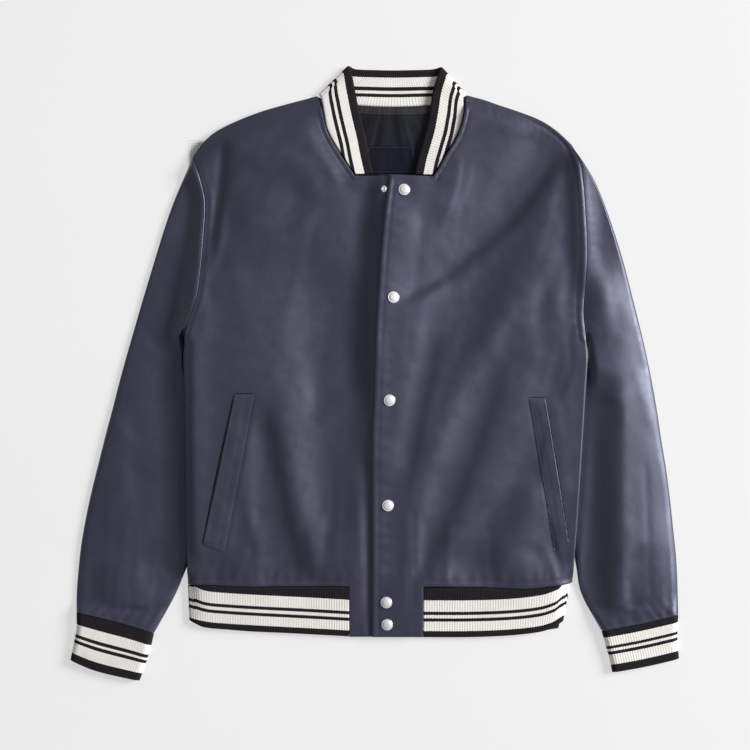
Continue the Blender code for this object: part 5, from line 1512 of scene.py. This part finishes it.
stitch_label = stitches("stitching_label", runs, pitch=3.0, length=2.1, radius=0.25)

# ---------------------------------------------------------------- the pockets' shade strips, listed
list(pocket_shade_strips["right"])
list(pocket_shade_strips["left"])


# ---------------------------------------------------------------- floor, light, camera
FLOOR_SHADOW_FILL_GLOW = 0.56  # around the jacket the floor glows: painted fill light that keeps the jacket's cast shadow faint
UNDER_JACKET = [  # boxes where the floor doesn't glow, so the gaps between the parts keep their shadow: middle and half size in x, then in y
    ((0.005, 0.245), (0.005, 0.295)), ((-0.236, 0.02), (0.03, 0.05)),
]


def floor_material():
    mat, tree, shader = new_material("studio_floor")
    at = object_coords(tree)
    mottle = noise(tree, at, 3.0, 4.0, 0.5)
    axes = node(tree, "ShaderNodeSeparateXYZ", {0: at})
    # painted fill light: 1 where the floor glows, 0 in the boxes under the jacket
    painted_fill = 1.0
    for box in UNDER_JACKET:
        far = []
        for axis, (mid, half) in enumerate(box):
            off = maths(tree, "ABSOLUTE", maths(tree, "SUBTRACT", axes.outputs[axis], mid))
            far.append(maths(tree, "SUBTRACT", off, half))
        clear = spread_to(tree, maths(tree, "MAXIMUM", *far), 0.0, 1.0, 0.0, 0.004)
        painted_fill = maths(tree, "MINIMUM", clear, painted_fill)
    # where the floor glows its own colour is darker, so the lamps and the glow together give about the same
    # pale tone
    paper = spread_to(tree, painted_fill, 0.8, 0.3)
    level = maths(tree, "ADD", paper, spread_to(tree, mottle, -0.005, 0.005))
    grey = node(tree, "ShaderNodeCombineColor", {0: level, 1: level, 2: level}).outputs[0]
    feed(tree, shader, {
        "Base Color": grey, "Roughness": 0.9, "Specular IOR Level": 0.1,
        "Emission Color": (1, 1, 1, 1), "Emission Strength": maths(tree, "MULTIPLY", painted_fill, FLOOR_SHADOW_FILL_GLOW),
    })
    return mat


mesh = bpy.data.meshes.new("floor")
mesh.from_pydata([(-4, -4, -0.0004), (4, -4, -0.0004), (4, 4, -0.0004), (-4, 4, -0.0004)], [], [(0, 1, 2, 3)])
mesh.materials.append(floor_material())
add_object("floor", mesh)


def softbox(name, azimuth, elevation, away_m, size, power):
    """Azimuth in degrees from +X towards +Y, where the light stands."""
    data = bpy.data.lights.new(name, "AREA")
    data.shape, data.size, data.energy = "DISK", size, power
    obj = add_object(name, data)
    a, e = math.radians(azimuth), math.radians(elevation)
    way = Vector((math.cos(a) * math.cos(e), math.sin(a) * math.cos(e), math.sin(e)))
    obj.rotation_euler = way.to_track_quat("Z", "Y").to_euler()
    obj.location = way * away_m


softbox("key", azimuth=15, elevation=28, away_m=7.0, size=2.9, power=790)
world = bpy.data.worlds.new("studio")
bpy.context.scene.world = world
world.use_nodes = True
world.node_tree.nodes["Background"].inputs[0].default_value = (1, 1, 1, 1)
world.node_tree.nodes["Background"].inputs[1].default_value = 0.29
bpy.context.scene.view_settings.view_transform = "Standard"

camera_data = bpy.data.cameras.new("camera")
LENS, SENSOR = 85, 36
FRAME_WIDE = 0.975  # metres that the photograph's frame spans on the floor
AIM_Z = 0.006
camera_data.lens = LENS
camera_data.sensor_width = SENSOR
camera = add_object("camera", camera_data)
camera.location = (0.00035, -0.0025, FRAME_WIDE * LENS / SENSOR + AIM_Z)
bpy.context.scene.camera = camera
